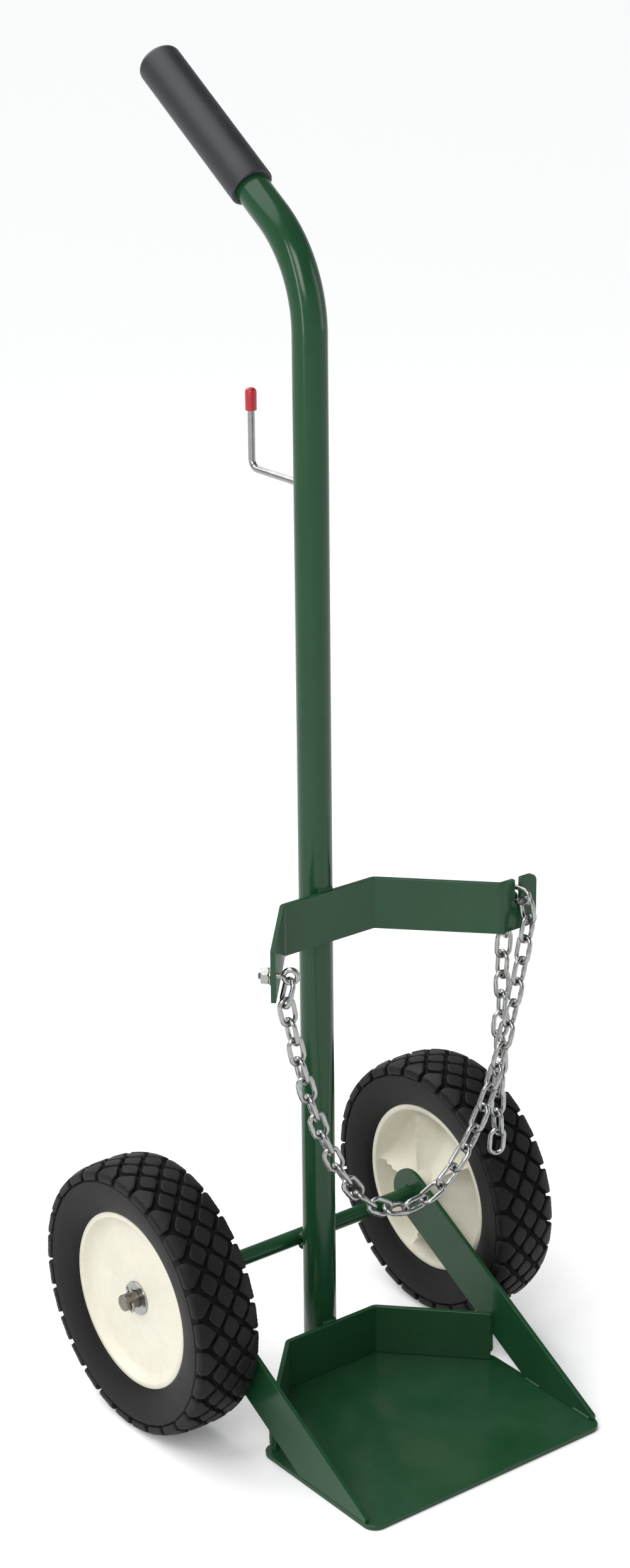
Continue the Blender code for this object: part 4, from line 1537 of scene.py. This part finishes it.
@dataclass
class EyeBolt:
    """The bolt through the left wing that holds the chain, its washer and its nut."""

    datum: Datum
    carrier: Carrier
    from_end: float = 0.0095
    drop: float = 0.003
    ring_drop: float = 0.0015
    shank: float = 0.0031
    wire: float = 0.0025
    eye: float = 0.0062
    flats: float = 0.0143
    nut: float = 0.0075
    washer_radius: float = 0.0085
    washer: float = 0.0012

    def place(self) -> tuple[Vector, Vector]:
        """Where the bolt crosses the wing's front face, and the way in from there."""
        carrier = self.carrier
        lean = Vector((math.cos(carrier.left_angle), math.sin(carrier.left_angle), 0))
        height = carrier.upper_z + carrier.width / 2 - self.drop
        bend = Vector((-carrier.left_half, carrier.front_y, height))
        point = bend - lean * (carrier.left_wing - self.from_end)
        return point, Vector((lean.y, -lean.x, 0))

    def centre(self) -> Vector:
        """The middle of the eye."""
        point, inward = self.place()
        return point + inward * (self.eye + 2 * self.shank) - Vector((0, 0, self.ring_drop))

    def turn(self, middle: Vector) -> Matrix:
        """A frame at the middle, its Z along the bolt, inwards."""
        _, inward = self.place()
        up = Vector((0, 0, 1))
        across = up.cross(inward)
        turn = Matrix((across, up, inward)).transposed().to_4x4()
        return self.datum.shift() @ Matrix.Translation(middle) @ turn

    def build(self) -> None:
        """Makes the bolt, the washer and the nut."""
        point, inward = self.place()
        bar, gap = self.carrier.bar, 0.0003
        tail = bar + self.washer + 3 * gap + self.nut + 0.0022
        parts = [self.threaded_end(tail)]
        centre_h = self.eye + 2 * self.shank
        loop = []
        for step in range(29):
            angle = math.pi + math.radians(338) * step / 28
            loop.append((0.0, self.eye * math.sin(angle), centre_h + self.eye * math.cos(angle)))
        path = [(0.0, 0.0, -0.002), (0.0, 0.0, 0.001), (0.0, 0.0, self.shank * 1.7)] + loop[1:]
        parts.append(tube(path, self.wire, 20))
        verts, faces = merge(parts)
        obj = mesh_object("eye_bolt", verts, faces)
        finish_piece(obj, BRIGHT_ZINC, Body.FRAME, ["chain_eye_bolt"], self.turn(point))

        half, ease = self.washer / 2, 0.0003
        profile = [(self.washer_radius - ease, half), (self.washer_radius, half - ease)]
        profile += [(self.washer_radius, -half + ease), (self.washer_radius - ease, -half)]
        profile += [(self.shank, -half), (self.shank, half)]
        verts, faces = turned(profile, 48)
        washer = mesh_object("bolt_washer", verts, faces, 30)
        middle = point - inward * (bar + gap + half)
        finish_piece(washer, BRIGHT_ZINC, Body.FRAME, ["eye_bolt_washer"], self.turn(middle))
        middle = point - inward * (bar + 2 * gap + self.washer + self.nut / 2)
        verts, faces = self.hex_nut()
        nut = mesh_object("hex_nut", verts, faces, 20)
        add_modifier(
            nut, "BEVEL", width=0.0003, segments=2, limit_method="ANGLE", angle_limit=math.radians(25)
        )
        finish_piece(nut, BRIGHT_ZINC, Body.FRAME, ["eye_bolt_nut"], self.turn(middle))

    def threaded_end(self, tail: float) -> tuple[np.ndarray, Faces]:
        """The shank outside the wing, with the crests of its thread."""
        profile = [(0.0, -tail), (self.shank - 0.0008, -tail), (self.shank - 0.0003, -tail + 0.0005)]
        pitch = 0.0010
        height = -tail + 0.0006
        while height < -0.004:
            profile += [(self.shank, height), (self.shank - 0.0005, height + pitch / 2)]
            height += pitch
        profile += [(self.shank, height), (self.shank, 0.0014), (self.wire, 0.0022), (0.0, 0.0022)]
        return turned(profile, 32, loop=False)

    def hex_nut(self) -> tuple[np.ndarray, Faces]:
        """A hexagon nut with its corners turned off at both faces."""
        flat, half, bore = self.flats / 2, self.nut / 2, self.shank
        corner = flat / math.cos(math.pi / 6)
        steps = 48
        verts: list[tuple[float, float, float]] = []
        for step in range(steps):
            angle = FULL_TURN * step / steps
            wedge = (angle + math.pi / 6) % (math.pi / 3) - math.pi / 6
            edge = flat / math.cos(wedge)
            cut = (edge - flat) / (corner - flat) * 0.0011
            for radius, height in (
                (bore, half - 0.0006),
                (bore + 0.0006, half),
                (flat * 0.97, half),
                (edge, half - cut - 0.0002),
                (edge, -half + cut + 0.0002),
                (flat * 0.97, -half),
                (bore + 0.0006, -half),
                (bore, -half + 0.0006),
            ):
                verts.append((radius * math.cos(angle), radius * math.sin(angle), height))
        rows = 8
        faces: Faces = []
        for i in range(steps):
            here, there = i * rows, (i + 1) % steps * rows
            for j in range(rows):
                k = (j + 1) % rows
                faces.append((here + j, there + j, there + k, here + k))
        return np.array(verts), faces


@dataclass
class Chain:
    """Welded links: the loop across the cradle, the link in the slot, and the spare end."""

    datum: Datum
    carrier: Carrier
    bolt: EyeBolt
    wire: float = 0.0023
    outer_length: float = 0.0302
    outer_width: float = 0.0186
    yaw: float = 0.2
    first_lean: Vector = field(default_factory=lambda: Vector((-0.30, 0.0, -1.0)))
    last_lean: Vector = field(default_factory=lambda: Vector((0.12, -0.10, -1.0)))
    forward: float = 0.003
    span_links: int = 31
    tail_links: int = 13

    @property
    def pitch(self) -> float:
        """The length that each link adds."""
        return self.outer_length - 4 * self.wire

    def link(self) -> tuple[np.ndarray, Faces]:
        """One link, long in Z and wide in X, with the swelling of its weld on one side."""
        bend = self.outer_width / 2 - self.wire
        straight = self.outer_length / 2 - self.wire - bend
        path = []
        for sign in (1, -1):
            for step in range(11):
                angle = math.pi * step / 10
                path.append((sign * bend * math.cos(angle), 0.0, sign * (straight + bend * math.sin(angle))))
            for step in (1, 2, 3):
                side = straight * (1 - step / 2)
                path.append((-sign * bend, 0.0, sign * side))
        radii = [self.wire] * len(path)
        radii[12] = self.wire * 1.16
        return tube(path, radii, 12, closed=True)

    def slot_point(self) -> Vector:
        """The middle of the link that lies in the slot."""
        carrier = self.carrier
        x, y = carrier.wing_end()
        low = carrier.upper_z + carrier.width - carrier.slot_depth
        middle = y + carrier.bar / 2 - self.forward
        return Vector((x + carrier.slot_offset, middle, low + self.outer_width / 2))

    def hanging(self, start: Vector, end: Vector, length: float, marks: Sequence[float]) -> list:
        """Points on the curve of a hanging chain, each with its direction.

        Args:
            start: The first held end.
            end: The other held end.
            length: The chain's length between them.
            marks: Distances along the chain.

        Returns:
            A list of (point, direction).
        """
        run = Vector((end.x - start.x, end.y - start.y, 0))
        span, rise = run.length, end.z - start.z
        run.normalize()
        goal = math.sqrt(length**2 - rise**2)
        low, high = 0.001, 10.0
        for _ in range(120):
            scale = (low + high) / 2
            if 2 * scale * math.sinh(span / (2 * scale)) > goal:
                low = scale
            else:
                high = scale
        middle = span / 2 - scale * math.asinh(rise / (2 * scale * math.sinh(span / (2 * scale))))
        base = start.z - scale * math.cosh(middle / scale)
        first = scale * math.sinh(-middle / scale)
        found = []
        for mark in marks:
            along = first + mark
            x = scale * math.asinh(along / scale)
            height = base + scale * math.cosh(x / scale)
            slope = along / scale
            direction = (run + Vector((0, 0, slope))).normalized()
            point = Vector((start.x, start.y, height)) + run * (x + middle)
            found.append((point, direction))
        return found

    def oriented(self, point: Vector, along: Vector, side: Vector, roll: float) -> np.ndarray:
        """Puts one link at a point, its length along one vector, rolled from another."""
        across = (side - along * side.dot(along)).normalized()
        other = along.cross(across)
        turned_across = across * math.cos(roll) + other * math.sin(roll)
        depth = along.cross(turned_across)
        verts, _ = self.link()
        axes = np.array([tuple(turned_across), tuple(depth), tuple(along)])
        return verts @ axes + np.array(tuple(point))

    def build(self) -> None:
        """Makes the three stretches of chain."""
        _, faces = self.link()
        grip = self.outer_length / 2 - 3 * self.wire
        slot = self.slot_point()
        aim = Vector((-self.yaw, 1, 0)).normalized()
        anchor = self.oriented(slot, aim, Vector((0, 0, 1)), 0.0)
        obj = mesh_object("chain_slot_link", anchor, faces)
        finish_piece(obj, BRIGHT_ZINC, Body.FRAME, (), self.datum.shift())
        self.build_loop(faces, slot - aim * grip)
        self.build_tail(faces, slot + aim * grip)

    def build_loop(self, faces: Faces, end: Vector) -> None:
        """The span from the eye to the slot's link, in links that hang on each other.

        Args:
            faces: A link's faces.
            end: The middle of the wire where the last link hangs.
        """
        start = self.bolt.centre() - Vector((0, 0, self.bolt.eye - self.bolt.wire - self.wire))
        reach = self.outer_length / 2 - self.wire
        first = self.first_lean.normalized()
        last = self.last_lean.normalized()
        low, high = start + first * self.pitch, end + last * self.pitch
        count = self.span_links - 2
        marks = [self.pitch * (i + 0.5) for i in range(count)]
        places = [(start + first * reach, first)]
        places += self.hanging(low, high, self.pitch * count, marks)
        places.append((end + last * reach, -last))
        placed = []
        side = Vector((0, 1, 0))
        for i, (point, along) in enumerate(places):
            roll = math.pi / 2 * (i % 2) + 0.25 * wobble((i * 0.37, 0.2, 0.5), 1.0) + 0.15
            placed.append((self.oriented(point, along, side, roll), faces))
        verts, all_faces = merge(placed)
        obj = mesh_object("chain_loop_links", verts, all_faces)
        finish_piece(obj, BRIGHT_ZINC, Body.CHAIN_LOOP, ["chain_span"], self.datum.shift())

    def build_tail(self, faces: Faces, hang: Vector) -> None:
        """The spare end: its first link leans back off the flange and the others hang straight.

        Args:
            faces: A link's faces.
            hang: The middle of the wire where the first link hangs.
        """
        reach = self.outer_length / 2 - self.wire
        lean = Vector((-0.16, 0.34, -1.0)).normalized()
        joint, placed = hang.copy(), []
        for i in range(self.tail_links):
            along = lean if i == 0 else Vector((0.07 * math.sin(i * 1.9), 0.03, -1.0)).normalized()
            roll = math.pi / 2 * ((i + 1) % 2) + 0.30 * wobble((i * 0.41, 0.7, 0.1), 1.0) + 0.2
            middle = joint + along * reach
            placed.append((self.oriented(middle, along, Vector((0, 1, 0)), roll), faces))
            joint = joint + along * self.pitch
        verts, all_faces = merge(placed)
        obj = mesh_object("chain_end_links", verts, all_faces)
        finish_piece(obj, BRIGHT_ZINC, Body.CHAIN_END, ["chain_tail"], self.datum.shift())


# ---- Studio ----


@dataclass(frozen=True)
class Softbox:
    """An area light: where it stands, its size and its power."""

    name: str
    place: tuple[float, float, float]
    size: tuple[float, float]
    power: float
    colour: Colour = (1.0, 1.0, 1.0)


@dataclass
class Studio:
    """A pale floor, soft lights and the camera."""

    datum: Datum
    lens: float = 71.66
    camera: tuple[float, float, float] = (-1.62073, -2.11913, 1.61220)
    azimuth: float = math.radians(-37.42)
    elevation: float = math.radians(20.60)
    roll: float = math.radians(-0.60)
    overhead: float = 2.5
    floor_glow: float = 0.16
    boxes: tuple[Softbox, ...] = (
        Softbox("key_softbox", (-1.9, -1.7, 2.5), (1.0, 1.6), 34.0, (1.0, 0.985, 0.96)),
        Softbox("fill_softbox", (2.3, -1.7, 1.5), (1.2, 2.0), 12.0, (0.95, 0.98, 1.0)),
        Softbox("back_softbox", (0.6, 2.4, 2.4), (2.0, 1.0), 16.0),
        Softbox("strip_softbox", (-1.5, -0.35, 1.3), (0.10, 1.5), 7.0),
    )

    def build(self) -> None:
        """Makes the whole studio."""
        self.build_camera()
        self.build_lights()
        self.build_floor()

    def build_camera(self) -> None:
        """Aims the camera by its azimuth, elevation and slight roll."""
        az, el, roll = self.azimuth, self.elevation, self.roll
        back = Vector((math.sin(az) * math.cos(el), -math.cos(az) * math.cos(el), math.sin(el)))
        right = Vector((math.cos(az), math.sin(az), 0))
        up = back.cross(right)
        level_right = right * math.cos(roll) + up * math.sin(roll)
        level_up = up * math.cos(roll) - right * math.sin(roll)
        data = bpy.data.cameras.new("camera")
        data.lens = self.lens
        data.sensor_width = 36.0
        data.clip_start, data.clip_end = 0.05, 50.0
        camera = bpy.data.objects.new("camera", data)
        bpy.context.scene.collection.objects.link(camera)
        turn = Matrix((level_right, level_up, back)).transposed().to_4x4()
        camera.matrix_world = Matrix.Translation(self.datum.world(*self.camera)) @ turn
        bpy.context.scene.camera = camera

    def build_lights(self) -> None:
        """Adds the softboxes and an even pale surrounding."""
        for box in self.boxes:
            data = bpy.data.lights.new(box.name, "AREA")
            data.shape = "RECTANGLE"
            data.size, data.size_y = box.size
            data.energy = box.power
            data.color = box.colour
            light = bpy.data.objects.new(box.name, data)
            light.location = box.place
            aim = Vector((0, 0, 0.5)) - light.location
            light.rotation_euler = aim.to_track_quat("-Z", "Y").to_euler()
            bpy.context.scene.collection.objects.link(light)
        sun = bpy.data.lights.new("overhead_diffuser", "SUN")
        sun.energy, sun.angle = self.overhead, math.radians(70)
        light = bpy.data.objects.new("overhead_diffuser", sun)
        light.rotation_euler = (math.radians(-24), math.radians(-20), 0)
        bpy.context.scene.collection.objects.link(light)
        self.build_surroundings()
        bpy.context.scene.view_settings.view_transform = "Standard"

    def build_surroundings(self) -> None:
        """A white backdrop that lights the truck from round the sides more than from above."""
        world = bpy.data.worlds.new("surroundings")
        world.use_nodes = True
        patch = Patch(world.node_tree)
        around = patch.node("TexCoord").outputs["Generated"]
        height = patch.node("SeparateXYZ", Vector=around).outputs["Z"]
        light = patch.mix(patch.ramp(height, 0.04, 0.55), (0.60, 0.62, 0.64), (0.16, 0.165, 0.17))
        seen = patch.node("LightPath").outputs["Is Camera Ray"]
        colour = patch.mix(seen, light, (0.97, 0.97, 0.97))
        background = world.node_tree.nodes["Background"]
        world.node_tree.links.new(colour, background.inputs["Color"])
        bpy.context.scene.world = world

    def build_floor(self) -> None:
        """A wide plain floor."""
        size = 14.0
        corners = [(-size, -size, 0), (size, -size, 0), (size, size, 0), (-size, size, 0)]
        floor = mesh_object("floor", corners, [(0, 1, 2, 3)])
        floor.location.z = -0.0004
        material = bpy.data.materials.new("pale_floor")
        material.use_nodes = True
        shader = material.node_tree.nodes["Principled BSDF"]
        shader.inputs["Base Color"].default_value = (0.92, 0.92, 0.92, 1.0)
        shader.inputs["Roughness"].default_value = 0.7
        patch = Patch(material.node_tree)
        seen = patch.node("LightPath").outputs["Is Camera Ray"]
        glow = patch.maths("MULTIPLY", seen, self.floor_glow)
        shader.inputs["Emission Color"].default_value = (1.0, 1.0, 1.0, 1.0)
        material.node_tree.links.new(glow, shader.inputs["Emission Strength"])
        floor.data.materials.append(material)


# ---- The whole ----


def main() -> None:
    """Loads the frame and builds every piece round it."""
    logging.basicConfig(level=logging.INFO, format="%(message)s")
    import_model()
    datum = Datum()
    Studio(datum).build()
    Mast(datum).build()
    carrier = Carrier(datum)
    carrier.build()
    Wheels(datum, carrier).build()
    bolt = EyeBolt(datum, carrier)
    bolt.build()
    Chain(datum, carrier, bolt).build()


if __name__ == "__main__":
    main()
